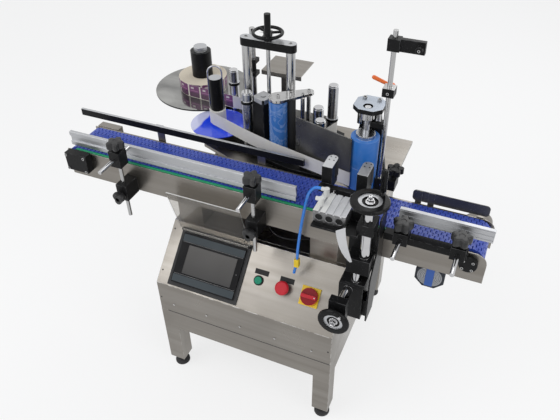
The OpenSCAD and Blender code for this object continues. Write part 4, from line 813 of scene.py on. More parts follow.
def add_round(bm, p, q, r, material=0, sides=24):
    """A round bar between two points, with its radius in millimetres."""
    p, q = Vector(p), Vector(q)
    turn = (q - p).to_track_quat("Z", "Y").to_matrix().to_4x4()
    made = bmesh.ops.create_cone(bm, cap_ends=True, segments=sides, radius1=r * MM, radius2=r * MM,
                                 depth=(q - p).length, matrix=Matrix.Translation((p + q) / 2) @ turn)
    paint(made["verts"], material)
    return made["verts"]


def add_spigot(bm, place, depth, r, material, sides):
    """A round stem that reaches from a piece's foot down into its hub."""
    verts = add_round(bm, (0, 0, -depth * MM), (0, 0, MM), r, material, sides)
    bmesh.ops.transform(bm, matrix=place, verts=verts)


def add_box(bm, low, high, material=0, place=UPRIGHT):
    """A box between two corners."""
    low, high = Vector(low), Vector(high)
    fitted = Matrix.Translation((low + high) / 2) @ Matrix.Diagonal((*(high - low), 1))
    paint(bmesh.ops.create_cube(bm, size=1.0, matrix=place @ fitted)["verts"], material)


def add_cap_screw(bm, p, direction, r, h, material=0, socket=1):
    """The head of a cap screw, its radius and height in millimetres, with its sunk recess."""
    p, direction = Vector(p), Vector(direction)
    head = add_round(bm, p, p + direction * h * MM, r, material)
    faces = {f for v in head for f in v.link_faces}
    top = max(faces, key=lambda f: (f.calc_center_median() - p).dot(direction) + (len(f.verts) > 4))
    inner = bmesh.ops.inset_region(bm, faces=[top], thickness=r * 0.42 * MM, use_even_offset=False)
    sunk = bmesh.ops.inset_region(bm, faces=[top], thickness=r * 0.05 * MM, depth=-h * 0.6 * MM)
    for f in inner["faces"]:
        f.material_index = material
    for f in sunk["faces"] + [top]:
        f.material_index = socket


def screws(name, node, heads, finishes=("steel_turned", "plastic")):
    """The cap screws of one piece; heads is a list of (place, direction, radius, height)."""
    bm = bmesh.new()
    for head in heads:
        add_cap_screw(bm, *head, 0, len(finishes) - 1)
    settle(bm, name, BODY_OF[node], finishes)


def add_turned(bm, outline, place, material=0, steps=48):
    """Spins an outline of (radius, height) pairs in millimetres about its axis and puts it in place."""
    known = set(bm.faces)
    verts = [bm.verts.new((r * MM, 0, z * MM)) for r, z in outline]
    edges = [bm.edges.new(pair) for pair in zip(verts, verts[1:])]
    bmesh.ops.spin(bm, geom=verts + edges, cent=(0, 0, 0), axis=TOP, dvec=(0, 0, 0), angle=2 * math.pi,
                   steps=steps, use_merge=True, use_duplicate=False)
    made = {v for f in bm.faces if f not in known for v in f.verts}
    bmesh.ops.remove_doubles(bm, verts=list(made), dist=TURNED_WELD)
    faces = [f for f in bm.faces if f not in known]
    bmesh.ops.recalc_face_normals(bm, faces=faces)
    for f in faces:
        f.material_index = material(f) if callable(material) else material
    bmesh.ops.transform(bm, matrix=place, verts=list({v for f in faces for v in f.verts}))


def add_star(bm, place, r, h, lobes, stem_l):
    """A moulded knob: a neck that flares into rounded lobes, a dimpled crown and its steel stem."""
    sides, lobe_share, start, hub_h = lobes * 16, 0.36, math.radians(18), 6
    crown = hub_h + h
    rings = [(0.0, 9.0 / r, 0.0), (hub_h * 0.6, 9.4 / r, 0.1), (hub_h, 0.74, 0.9), (hub_h + 1.5, 0.90, 1.0),
             (hub_h + 4.5, 0.99, 1.0), (hub_h + h * 0.55, 1.0, 1.0), (crown - 5.0, 0.99, 1.0),
             (crown - 2.2, 0.94, 1.0), (crown - 0.6, 0.83, 1.0), (crown, 0.68, 0.9), (crown, 0.30, 0.2),
             (crown - 1.2, 0.24, 0.0)]
    loops = []
    for z, scale, full in rings:
        made = bmesh.ops.create_circle(bm, segments=sides, radius=1.0)["verts"]
        for v in made:
            a = math.atan2(v.co.y, v.co.x)
            wave = (0.5 + 0.5 * math.cos(lobes * (a - start))) ** 0.8
            reach = r * scale * (1 - full * lobe_share * (1 - wave)) * MM
            v.co = (math.cos(a) * reach, math.sin(a) * reach, z * MM)
        loops.append(made)
    edges = [list({e for v in loop for e in v.link_edges}) for loop in loops]
    for low, high in zip(edges, edges[1:]):
        bmesh.ops.bridge_loops(bm, edges=low + high)
    for loop in (loops[0], loops[-1]):
        bmesh.ops.contextual_create(bm, geom=list({e for v in loop for e in v.link_edges
                                                   if all(w in loop for w in e.verts)}))
    body = [v for loop in loops for v in loop]
    bmesh.ops.recalc_face_normals(bm, faces=list({f for v in body for f in v.link_faces}))
    bmesh.ops.transform(bm, matrix=place, verts=body)
    add_spigot(bm, place, stem_l, 3.9, 1, 16)


def add_wheel(bm, place, r, hub_h, handle):
    """A dished handwheel: broad rim, turned ring, sunk middle with washer, nut and stud, and its handle."""
    base = hub_h - 12
    rim = [(0, 0), (13.6, 0), (14, 0.4), (14, base), (r - 6, base + 0.3), (r - 1.6, base + 2.6),
           (r - 0.2, base + 5), (r, base + 7), (r - 0.6, base + 9.6), (r - 2.4, base + 11.6),
           (r - 4.5, base + 12), (r * 0.62, base + 12), (r * 0.605, base + 11.4), (r * 0.60, base + 9),
           (r * 0.595, base + 8.6), (r * 0.41, base + 8.2), (r * 0.405, base + 5), (12.6, base + 4.8),
           (12, base + 6.5), (0, base + 6.5)]
    washer = [(0, base + 6.4), (10.6, base + 6.4), (11, base + 6.8), (11, base + 7.6), (10.6, base + 8),
              (0, base + 8)]
    stud = [(0, base + 14), (4.8, base + 14), (4.8, hub_h + 10.6), (3.8, hub_h + 12), (2.0, hub_h + 12),
            (1.6, hub_h + 9.4), (0, hub_h + 9.2)]
    grip = [(0, hub_h + 6), (6.0, hub_h + 6), (7.4, hub_h + 8), (8, hub_h + 16), (7.2, hub_h + 30),
            (7.6, hub_h + 48), (8, hub_h + 56), (7.4, hub_h + 61), (5.2, hub_h + 63.6), (0, hub_h + 64)]
    pin = [(0, hub_h - 1), (4, hub_h - 1), (4, hub_h + 6.2), (0, hub_h + 6.2)]
    plug_screw = [(0, hub_h - 1), (4, hub_h - 1), (4, hub_h + 5.4), (3.4, hub_h + 6), (0, hub_h + 6)]
    ring_in, ring_out = r * 0.407, r * 0.597

    def ring_finish(f):
        c = f.calc_center_median() / MM
        reach = math.hypot(c.x, c.y)
        if ring_in < reach < ring_out and c.z > base + 8:
            return 1
        return 3 if reach < ring_in and c.z > base + 4 else 0

    add_turned(bm, rim, place, ring_finish, 72)
    add_turned(bm, washer, place, 2, 32)
    nut = bmesh.ops.create_cone(bm, cap_ends=True, segments=6, radius1=8.2 * MM, radius2=8.2 * MM,
                                depth=6.5 * MM, matrix=place @ Matrix.Translation((0, 0, (base + 11.2) * MM)))
    paint(nut["verts"], 2)
    add_turned(bm, stud, place, 2, 24)
    side = Matrix.Rotation(math.radians(60), 4, "Z") @ Matrix.Translation(((r - 8) * MM, 0, 0))
    if handle:
        add_turned(bm, grip, place @ side, 0, 32)
    add_turned(bm, pin if handle else plug_screw, place @ side, 2, 20)


def smooth_route(points, steps=4):
    """The same flowing curve through the route's points as the CAD solid follows."""
    n, out = len(points), []
    for i in range(n - 1):
        a, b, c, d = (points[max(i - 1, 0)], points[i], points[i + 1], points[min(i + 2, n - 1)])
        for k in range(steps):
            s = k / steps
            out.append(0.5 * (2 * b + (c - a) * s + (2 * a - 5 * b + 4 * c - d) * s * s
                              + (3 * b - a - 3 * c + d) * s ** 3))
    return out + [points[-1]]


# Operators

class LABELLER_OT_studio(bpy.types.Operator):
    """Camera, lamps, pale floor and room light"""
    bl_idname = "labeller.studio"
    bl_label = "Studio"

    def execute(self, context):
        scene, studio = context.scene, context.scene.labeller.studio
        camera = bpy.data.cameras.new("view_camera")
        camera.lens, camera.sensor_width, camera.sensor_fit = studio.lens, 36.0, "HORIZONTAL"
        camera.clip_start, camera.clip_end = 0.05, 60.0
        seen = bpy.data.objects.new("view_camera", camera)
        scene.collection.objects.link(seen)
        yaw, pitch, roll = math.radians(23.9), math.radians(39.3), math.radians(-0.9)
        back = Vector((math.sin(yaw) * math.cos(pitch), -math.cos(yaw) * math.cos(pitch), math.sin(pitch)))
        right = Vector((math.cos(yaw), math.sin(yaw), 0))
        up = back.cross(right)
        side = right * math.cos(roll) + up * math.sin(roll)
        top = up * math.cos(roll) - right * math.sin(roll)
        turned = Matrix((side, top, back)).transposed().to_4x4()
        camera_place = at(849, -996, 1688)
        seen.matrix_world = Matrix.Translation(camera_place) @ turned
        scene.camera = seen
        target = Vector((0, 0, 0.6))
        for name, place, power, size in (("key_lamp", (-1.6, -1.9, 2.9), studio.key, 2.2),
                                         ("fill_lamp", (2.4, -1.2, 1.9), studio.fill, 1.8),
                                         ("back_lamp", (0.6, 2.2, 2.6), studio.fill, 1.6)):
            lamp = bpy.data.lights.new(name, "AREA")
            lamp.energy, lamp.size, lamp.shape = power, size, "SQUARE"
            hung = bpy.data.objects.new(name, lamp)
            hung.location = place
            hung.rotation_euler = (target - Vector(place)).to_track_quat("-Z", "Y").to_euler()
            scene.collection.objects.link(hung)
        world = bpy.data.worlds.new("studio_room")
        world.use_nodes = True
        room = Wiring(world.node_tree)
        even = room.node("Background", {"Color": (0.95, 0.97, 1.0, 1), "Strength": studio.sky}).outputs[0]
        white = room.node("Background", {"Color": (1, 1, 1, 1)}).outputs[0]
        light = room.node("MixShader", {0: room.seen_directly(), 1: even, 2: white}).outputs[0]
        room.node("OutputWorld", {0: light})
        scene.world = world
        bm = bmesh.new()
        bmesh.ops.create_circle(bm, cap_ends=True, segments=96, radius=9.0)
        mesh = bpy.data.meshes.new("studio_floor")
        bm.to_mesh(mesh)
        bm.free()
        floor = bpy.data.objects.new("studio_floor", mesh)
        f = Finish("pale_floor", studio.floor, 0.8, Specular_IOR_Level=0.1)
        f.blend(f.use(handling_marks, Size=0.7)["Smudge"], lighter(studio.floor, 0.1), 0.3)
        mesh.materials.append(f.material)
        backdrop = f.maths("MULTIPLY", f.seen_directly(), studio.glow)
        glow = f.node("Emission").outputs[0]
        both = f.node("MixShader", {0: backdrop, 1: f.shader.outputs[0], 2: glow}).outputs[0]
        f.tree.links.new(both, f.exit.inputs[0])
        scene.collection.objects.link(floor)
        scene.view_settings.view_transform = "Standard"
        return {"FINISHED"}


class LABELLER_OT_lines(bpy.types.Operator):
    """Air tube with its yellow marker, and the sensor cable on the deck"""
    bl_idname = "labeller.lines"
    bl_label = "Air tube and cable"

    def execute(self, context):
        size = sizes()
        tube = [(485.4, 66, 836), (477, 66, 836), (468, 67, 832), (456, 71, 815), (446, 76, 786),
                (436, 80, 730), (428, 80, 670), (422, 80, 610), (419, 80, 560), (411, 80, 515)]
        cable = [(259, 289.7, 533), (259, 280, 533), (261, 262, 532), (268, 232, 532), (290, 200, 532),
                 (325, 183, 532), (362, 186, 532), (392, 200, 532), (408, 206, 533), (420, 207, 533),
                 (429.7, 207, 533)]
        plan = [("air_tube", "lift", tube, size.tube_length, size.tube_width, "tube", "bare", "hanging"),
                ("sensor_cable", "machine", cable, size.cable_length, size.cable_width, "black_rubber",
                 "object", "loose")]
        for node, body, points, real, width, kind, end, lay in plan:
            route = smooth_route([at(*p) for p in points])
            line = bpy.data.curves.new(f"{node}_line", "CURVE")
            line.dimensions, line.bevel_depth, line.bevel_resolution = "3D", width / 2, 3
            line.use_fill_caps = True
            spline = line.splines.new("POLY")
            spline.points.add(len(route) - 1)
            for point, p in zip(spline.points, route):
                point.co = (*p, 1)
            line.materials.append(finish(kind))
            piece = bpy.data.objects.new(f"{node}_line", line)
            context.scene.collection.objects.link(piece)
            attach(piece, body)
            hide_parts(node)
            extra = []
            if node == "air_tube":
                bm = bmesh.new()
                add_box(bm, at(412.6, 73, 543), at(426.6, 87, 571))
                round_edges(bm, 0.002)
                extra = [settle(bm, "tube_marker", body, ["yellow"])]
        return {"FINISHED"}


class LABELLER_OT_cabinet(bpy.types.Operator):
    """Legs, rails, feet, housing and console sheet"""
    bl_idname = "labeller.cabinet"
    bl_label = "Cabinet"

    def execute(self, context):
        legs = [(inside(x, x + 52, y, y + 52, 30, 277), "stainless_upright")
                for x in (-1, 503) for y in (-1, 548)]
        sides = [(inside(x, x + 30, 50, 550, 190, 280), "stainless_deep") for x in (-1, 526)]
        ends = [(facing(0, way), "stainless_deep") for way in (1, -1)]
        dress("leg_frame", "stainless", legs + sides)
        dress("leveling_feet", "black_rubber", [(inside(-10, 600, -10, 620, 13, 300), "steel_turned")])
        dress("cabinet_panels", "stainless", ends)
        dress("console_cover", "stainless", width=0.0012, segments=3)
        dress("pedestals", "stainless", ends)
        return {"FINISHED"}


class LABELLER_OT_console(bpy.types.Operator):
    """Touch panel, buttons, isolator, bare label plates and the flip cover"""
    bl_idname = "labeller.console"
    bl_label = "Console"

    def execute(self, context):
        ears = [(on_console(x0, x1, 160, 190, 4.1, 30), "plastic") for x0, x1 in ((30, 46), (255, 270))]
        dress("hmi_panel", "touch_panel", [(on_console(30, 270, 0, 190, -1, 4.1), "black_rubber"), *ears,
                                           (on_console(46, 255, 168, 190, 4.1, 30), "steel_turned")],
              width=0.0008)
        dress("panel_fittings", "chrome", [(on_console(430, 500, 60, 125, -30, 5), "yellow"),
                                           (on_console(365, 406, 72, 112, -1, 9), "plastic"),
                                           (on_console(290, 327, 74, 111, -1, 9), "plastic"),
                                           (inside(0, 555, -5, 1, 300, 325), "steel_turned")])
        dress("start_button", "green", width=0.0004)
        dress("stop_button", "red", width=0.0004)
        dress("isolator_knob", "red", [(on_console(440, 490, 66, 118, 15.5, 17.5), "red_shade")],
              width=0.0010, segments=3)
        bm = bmesh.new()
        turned = Matrix.Translation(SLOPE_FOOT) @ Matrix.Rotation(SLOPE, 4, "X")
        half_w, half_h, screw_r = 21, 7.5, 2.4
        slabs = [((x - half_w, v - half_h, 0), (x + half_w, v + half_h, 1.0), 0)
                 for x, v in ((312, 117.4), (390, 116.2))]
        for low, high, material in [*slabs, ((481.4, 89.9, 24.2), (484.8, 93.1, 24.8), 1)]:
            add_box(bm, Vector(low) * MM, Vector(high) * MM, material, turned)
        round_edges(bm, 0.0003)
        for v in (168, 40):
            add_round(bm, up_slope(9, v), up_slope(9, v, 0.5), screw_r, 0, 16)
        for x in (8, 546):
            add_round(bm, at(x, 0, 330), at(x, -0.5, 330), screw_r, 0, 16)
        # Thin black strip along the seam below the console sheet: painted shadow of the gap there, built as a
        # rubber gasket.
        add_box(bm, at(24, -0.35, 274.7), at(554, 0.6, 276.7), 2)
        settle(bm, "button_plates", "machine", ["plastic", "white", "black_rubber"])
        sheet = max(NODES["flip_cover"].data.polygons, key=lambda p: p.area).normal
        # The flip cover's thin rim faces get the near-white painted highlight.
        dress("flip_cover", "smoked", [(lambda f: abs(f.normal.dot(sheet)) < 0.3, "rim_highlight")], width=0.0004)
        return {"FINISHED"}


class LABELLER_OT_conveyor(bpy.types.Operator):
    """Side plates, sliding strips, shafts and drive"""
    bl_idname = "labeller.conveyor"
    bl_label = "Conveyor frame"

    def execute(self, context):
        dress("conveyor_plates", "stainless")
        dress("belt_supports", "strip", [(inside(-400, 900, 103.5, 234, 600, 716), "white"),
                                         (inside(-400, 900, 224, 234, 600, 740), "stainless")])
        dress("conveyor_drive", "black", [(inside(-400, -200, 60, 200, 600, 800), "black"),
                                          (inside(-400, -200, 230, 300, 600, 800), "stainless"),
                                          (inside(700, 830, 0, 236, 500, 690), "motor_body"),
                                          (inside(720, 830, 236, 300, 500, 790), "stainless"),
                                          (inside(800, 900, 236, 300, 600, 800), "stainless"),
                                          (inside(700, 830, 100, 125, 500, 690), "motor_face")])
        bm = bmesh.new()
        block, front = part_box("conveyor_drive")[0].x, at(0, 75, 0).y
        for x in (6, 66):
            for z in (681, 726):
                add_cap_screw(bm, (block + x * MM, front, at(0, 0, z).z), FRONT, 4.2, 3.2)
        tail_x, tail_z, bolt_circle = 844, 699.5, 15.84
        for turn in range(4):
            a = math.radians(45 + 90 * turn)
            place = at(tail_x + bolt_circle * math.cos(a), 88, tail_z + bolt_circle * math.sin(a))
            add_cap_screw(bm, place, FRONT, 3.6, 3.0)
        guard = Matrix.Translation(at(GEAR_MOTOR_X, 126, GEAR_MOTOR_Z)) @ TOWARD_FRONT
        eighth = Matrix.Rotation(math.radians(22.5), 4, "Z")
        rim = [(32.5, 0), (39.5, 0), (39.5, 12), (34, 12.8), (32.5, 10), (32.5, 0)]
        add_turned(bm, rim, guard @ eighth, 2, 8)
        ring_pitch, ring_w = 4, 2.8
        for r in (3.6 + ring_pitch * i for i in range(7)):
            add_turned(bm, [(r, 12), (r + ring_w, 12), (r + ring_w, 13.6), (r, 13.6), (r, 12)], guard, 3, 40)
        add_box(bm, at(753, 111.6, 575.5), at(773, 113.6, 636.5), 4)
        settle(bm, "bearing_screws", BODY_OF["conveyor_drive"],
               ["steel_turned", "plastic", "motor_body", "guard_grey", "motor_band"])
        dress("drive_shaft", "steel_turned")
        tail = dress("tail_shaft", "steel_turned").data
        low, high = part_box("tail_shaft")
        journal_r, ease_share = 0.0102, 0.02
        for v in tail.vertices:
            off = Vector((v.co.x - (low.x + high.x) / 2, 0, v.co.z - (low.z + high.z) / 2))
            if off.length < journal_r:
                v.co -= off * ease_share
        return {"FINISHED"}


class LABELLER_OT_belt(bpy.types.Operator):
    """Modular belt: every module with its interlocking hinge fingers"""
    bl_idname = "labeller.belt"
    bl_label = "Modular belt"

    def execute(self, context):
        size = sizes()
        low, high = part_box("belt")
        half, pitch, fingers = size.belt_depth / 2, size.belt_pitch, size.belt_fingers
        pin_radius = size.belt_radius - half
        reach = (high.x - low.x) / 2 - size.belt_radius
        run, turn = 2 * reach, math.pi * pin_radius
        middle, axle = (low.x + high.x) / 2, (low.z + high.z) / 2

        def pin(s):
            s %= 2 * (run + turn)
            if s < run:
                return Vector((middle - reach + s, 0, axle + pin_radius))
            if s < run + turn:
                a = math.pi / 2 - (s - run) / pin_radius
                return Vector((middle + reach + pin_radius * math.cos(a), 0, axle + pin_radius * math.sin(a)))
            if s < 2 * run + turn:
                return Vector((middle + reach - (s - run - turn), 0, axle - pin_radius))
            a = -math.pi / 2 - (s - 2 * run - turn) / pin_radius
            return Vector((middle - reach + pin_radius * math.cos(a), 0, axle + pin_radius * math.sin(a)))

        width, slack, clearance = (high.y - low.y) / fingers, 0.00025, 0.0002
        core, reach_pin, h = pitch / 2 - half - clearance, pitch / 2, half - clearance
        tip_shares = ((0.7, -0.77), (1.0, -0.2), (1.0, 0.8), (0.9, 1))
        bm = bmesh.new()
        add_profile(bm, [(-core, -h), (core, -h), (core, h), (-core, h)], low.y, high.y)
        for k in range(fingers):
            way = 1 if k % 2 else -1
            tip = [(way * (reach_pin + h * x), h * z) for x, z in tip_shares]
            outline = [(way * core, -h), (way * reach_pin, -h), *tip, (way * core, h)]
            add_profile(bm, outline[::way], low.y + k * width + slack, low.y + (k + 1) * width - slack)
        hinge, inset = 2.2, 0.0003
        add_round(bm, (reach_pin, 0, low.y + inset), (reach_pin, 0, high.y - inset), hinge, 0, 6)
        bmesh.ops.recalc_face_normals(bm, faces=bm.faces)
        module = bpy.data.meshes.new("belt_module")
        bm.to_mesh(module)
        bm.free()
        bm = bmesh.new()
        across = Vector((0, 1, 0))
        for i in range(size.belt_links):
            a, b = pin(i * pitch), pin((i + 1) * pitch)
            along = (b - a).normalized()
            place = Matrix((along, across.cross(along), across)).transposed().to_4x4()
            place.translation = (a + b) / 2
            link = module.copy()
            link.transform(place)
            bm.from_mesh(link)
            bpy.data.meshes.remove(link)
        bpy.data.meshes.remove(module)
        settle_instead(bm, "belt", "modules", ["belt"])
        return {"FINISHED"}


class LABELLER_OT_guides(bpy.types.Operator):
    """Guide rails with their rods, clamps and the rear guides"""
    bl_idname = "labeller.guides"
    bl_label = "Guide rails"

    def execute(self, context):
        rods = [(inside(x - 6, x + 6, -30, 111.9, 745, 790), "chrome") for x in LEFT_RODS + RIGHT_RODS]
        feet = [(inside(x - 9, x + 9, 103.5, 112.1, 745, 776), "black") for x in RIGHT_RODS]
        dress("left_rail", "aluminium", rods)
        dress("right_rail", "aluminium", rods + feet)
        bm = bmesh.new()
        for z in (767, 779.5, 792):
            add_box(bm, at(666.5, 110.6, z - 1.6), at(884.5, 112.4, z + 1.6))
        round_edges(bm, 0.0008)
        settle(bm, "rail_ribs", BODY_OF["right_rail"], ["aluminium"])
        posts = [(inside(x - 6, x + 6, 56, 68, 570, 751.9), "steel") for x in LEFT_RODS]
        dress("left_rail_posts", "black", posts)
        dress("rail_clamps", "black")
        uprights = [(inside(x - 13, x + 13, 232, 240, 660, 763.9), "stainless_upright") for x in (-73, 250)]
        # The rear rail's top face takes the light aluminium finish as a painted reflection on the black rail.
        dress("rear_guides", "black", [(within(-350, 390, 225, 240, 784.9, 785.1), "aluminium"), *uprights,
                                       (inside(670, 880, 234, 240, 690, 780), "dark_grey")])
        return {"FINISHED"}


class LABELLER_OT_knobs(bpy.types.Operator):
    """Lobed clamping knobs"""
    bl_idname = "labeller.knobs"
    bl_label = "Knobs"

    def execute(self, context):
        knobs = [(f"star_knob_{i}", at(x, 62, z), UPRIGHT, (25, 23, 5, stem_l))
                 for i, x, z, stem_l in zip(range(1, 5), LEFT_RODS + RIGHT_RODS, (800.3, 800.3, 776.3, 776.3),
                                            (12, 12, 8, 8))]
        knobs += [(f"post_knob_{i}", at(x, 45.7, 658), TOWARD_FRONT, (20, 18, 3, 8))
                  for i, x in enumerate(LEFT_RODS, 1)]
        for node, where, turned, shape in knobs:
            bm = bmesh.new()
            add_star(bm, Matrix.Translation(where) @ turned, *shape)
            settle_instead(bm, node, "moulded", ["knob_plastic", "steel"])
        return {"FINISHED"}


class LABELLER_OT_head(bpy.types.Operator):
    """Label head: base, motor, columns, top bar and handwheel"""
    bl_idname = "labeller.head"
    bl_label = "Label head"

    def execute(self, context):
        dress("head_base", "black", [(ring_about(*HEAD_MOTOR_AXIS, 0, 40, 896.5, 901, up=True), "aluminium"),
                                     (inside(190, 255, 285, 353, 880, 898), "black")])
        dress("lift_frame", "steel", [(inside(140, 312, 330, 370, 1023.9, 1060), "black"),
                                      (lid_above(1045), "aluminium")])
        screws("top_bar_screws", "lift_frame", [(at(x, 350, 1046), TOP, 6.0, 0.8) for x in (162, 290)])
        bm = bmesh.new()
        half, cut = 21.4, 6.0
        corners = [(half, half - cut), (half - cut, half), (cut - half, half), (-half, half - cut),
                   (-half, cut - half), (cut - half, -half), (half - cut, -half), (half, cut - half)]
        place = Matrix.Translation(at(*HEAD_MOTOR_AXIS, 0)) @ Matrix.Rotation(math.radians(-22.2), 4, "Z")
        add_profile(bm, [(x * MM, y * MM) for x, y in corners], 0.884, 0.8975, place)
        round_edges(bm, 0.0008)
        settle(bm, "motor_end_plate", BODY_OF["head_base"], ["aluminium"])
        screw_end = ring_about(*HEAD_WHEEL_AXIS, 0, 5.8, 690, 1047)
        dress("head_wheel", "black_gloss", [(screw_end, "steel_turned")], width=0.0009)
        return {"FINISHED"}


class LABELLER_OT_rollers(bpy.types.Operator):
    """Guide rollers, traction and pinch rollers, arm and peel plate"""
    bl_idname = "labeller.rollers"
    bl_label = "Rollers"

    def execute(self, context):
        foot_z = 736.3
        guides = [(49, 478, 14, 136, 87), (173, 316, 15, 166, 132), (378, 331, 14.5, 154, 0),
                  (405, 271, 14, 154, 0), (381, 442, 14.5, 166, 54)]
        for i, (x, y, r, h, collar) in enumerate(guides, 1):
            top = foot_z + h
            patches = [(ring_about(x, y, 0, 30, top - 3.9, top + 2), "chrome"),
                       (ring_about(x, y, r - 1.4, r + 0.2, top - 4.2, top - 0.3), "black")]
            if collar:
                patches.append((ring_about(x, y, r + 0.3, 18, 735 + collar, 747 + collar), "black"))
            dress(f"guide_roller_{i}", "aluminium_post", patches)
        dress("traction_roller", "wrapped_rubber")
        dress("pinch_roller", "black_rubber")
        dress("head_posts", "steel", [(inside(250, 360, 265, 366, 911.5, 921), "steel"),
                                      (inside(250, 360, 265, 366, 920.2, 925), "steel_turned"),
                                      (inside(140, 172, 384, 416, 905, 965), "black"),
                                      (inside(175, 305, 395, 505, 700, 935), "stainless")])
        screws("link_plate_screws", "head_posts", [(at(x, y, 920), TOP, 5.3, 5.0) for x, y in
                                                   ((277, 293), (305, 318), (335, 325), (342, 351))])
        dress("peel_plate", "dark_grey", width=0.0003)
        return {"FINISHED"}


class LABELLER_OT_labels(bpy.types.Operator):
    """Supply disc, label roll, label web and waste spindle"""
    bl_idname = "labeller.labels"
    bl_label = "Labels"

    def execute(self, context):
        dress("unwinder", "mirror_disc", [(ring_about(*SUPPLY_AXIS, 155, 159, 700, 760), "black"),
                                          (ring_about(*SUPPLY_AXIS, 0, 33.5, 748.5, 890), "black"),
                                          (ring_about(*SUPPLY_AXIS, 0, 21.2, 876.5, 895), "aluminium")])
        dress("rewinder", "waste_disc", [(ring_about(*WASTE_AXIS, 17.6, 23.2, 791, 935), "steel"),
                                         (round_within(*WASTE_AXIS, 0, 18.6, 788, 893), "black"),
                                         (round_within(*WASTE_AXIS, 0, 18.6, 891.5, 893), "aluminium"),
                                         (round_within(*WASTE_AXIS, 18.3, 25, 744, 791), "paper"),
                                         (round_within(*WASTE_AXIS, 0, 30, 893.2, 960), "steel")])
        near_roll = inside(-190, 40, 400, 620, 700, 800)
        outer = [(lambda f: f.normal.y < -0.5 and near_roll(f), "roll_print")]
        web = dress("label_web", "paper", outer, width=0.0).data
        bottom = min(v.co.z for v in web.vertices)
        label_pitch = 2 * math.pi * ROLL_RADIUS * MM / LABELS_AROUND
        margin = 0.01

        def up_label(share):
            return margin + (1 - 2 * margin) * share

        layer = web.uv_layers.new(name="around")
        for polygon in web.polygons:
            along = Vector(TOP).cross(polygon.normal)
            for i in polygon.loop_indices:
                co = web.vertices[web.loops[i].vertex_index].co
                up = up_label((co.z - bottom) / (ROLL_WIDTH * MM))
                layer.uv[i].vector = (co.dot(along) / label_pitch, up)
        bm = bmesh.new()
        middle, (low, high) = at(*SUPPLY_AXIS, 0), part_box("label_roll")
        bore, edge, r, w = 33.2, 0.6, ROLL_RADIUS, ROLL_WIDTH
        outline = [(bore, 0), (r - edge, 0), (r, edge), (r, w - edge), (r - edge, w), (bore, w)]
        verts = [bm.verts.new((middle.x + x * MM, middle.y, low.z + z * MM)) for x, z in outline]
        edges = [bm.edges.new(pair) for pair in zip(verts, verts[1:] + verts[:1])]
        bmesh.ops.spin(bm, geom=verts + edges, cent=(middle.x, middle.y, 0), axis=TOP, dvec=(0, 0, 0),
                       angle=2 * math.pi, steps=96, use_merge=True, use_duplicate=False)
        bmesh.ops.remove_doubles(bm, verts=bm.verts, dist=ROLL_WELD)
        bmesh.ops.recalc_face_normals(bm, faces=bm.faces)
        around = bm.loops.layers.uv.new("around")
        for face in bm.faces:
            c = face.calc_center_median()
            face.material_index = 1 if (c.xy - middle.xy).length > (r - edge / 2) * MM else 0
            first = math.atan2(c.y - middle.y, c.x - middle.x)
            for loop in face.loops:
                co = loop.vert.co
                a = math.atan2(co.y - middle.y, co.x - middle.x)
                a = first + (a - first + math.pi) % (2 * math.pi) - math.pi
                up = up_label((co.z - low.z) / (high.z - low.z))
                loop[around].uv = (a / (2 * math.pi) * LABELS_AROUND, up)
        settle(bm, "wound_label_roll", "supply", ["roll_side", "roll_print"],
               ["label_roll"])
        return {"FINISHED"}


class LABELLER_OT_wrap(bpy.types.Operator):
    """Wrap roller, its support, the sensor mast and its clamps"""
    bl_idname = "labeller.wrap"
    bl_label = "Wrap station"

    def execute(self, context):
        posts = [(ring_about(x, 284, 0, 7.6, 897, 957.9), "steel") for x in (506, 552)]
        # The bridge's top face gets the grey-blue painted sheen.
        dress("wrap_support", "black", [(within(490, 580, 220, 310, 969.9, 970.1), "grey_sheen"), *posts,
                                        (ring_about(*WRAP_AXIS, 0, 19, 937, 958), "steel_turned")])
        dress("wrap_roller", "rubber", [(ring_about(*WRAP_AXIS, 0, 25, 886.1, 980), "aluminium_post"),
                                        (ring_about(*WRAP_AXIS, 0, 9, 700, 737.9), "steel")])
        dress("sensor_mast", "black", [(ring_about(*MAST_AXIS, 0, 6.6, 700, 1200), "steel"),
                                       (within(530, 575, 235, 255, 915, 935), "aluminium"),
                                       (inside(596, 640, 240, 300, 769.5, 800), "plastic")])
        dress("clamp_lever", "orange")
        dress("sensor_arm", "black")
        screws("sensor_arm_screw", "sensor_arm", [(at(638, 226, 1135.5), FRONT, 3.2, 1.6)])
        deck = [(at(x, 282, 970), TOP, 5.4, 5.0) for x in (515, 552)]
        mast = [(at(580, 232, 1020), FRONT, 3.4, 3.0), (at(588, 236, 760), FRONT, 3.4, 3.0)]
        screws("wrap_screws", "sensor_mast", deck + mast)
        return {"FINISHED"}


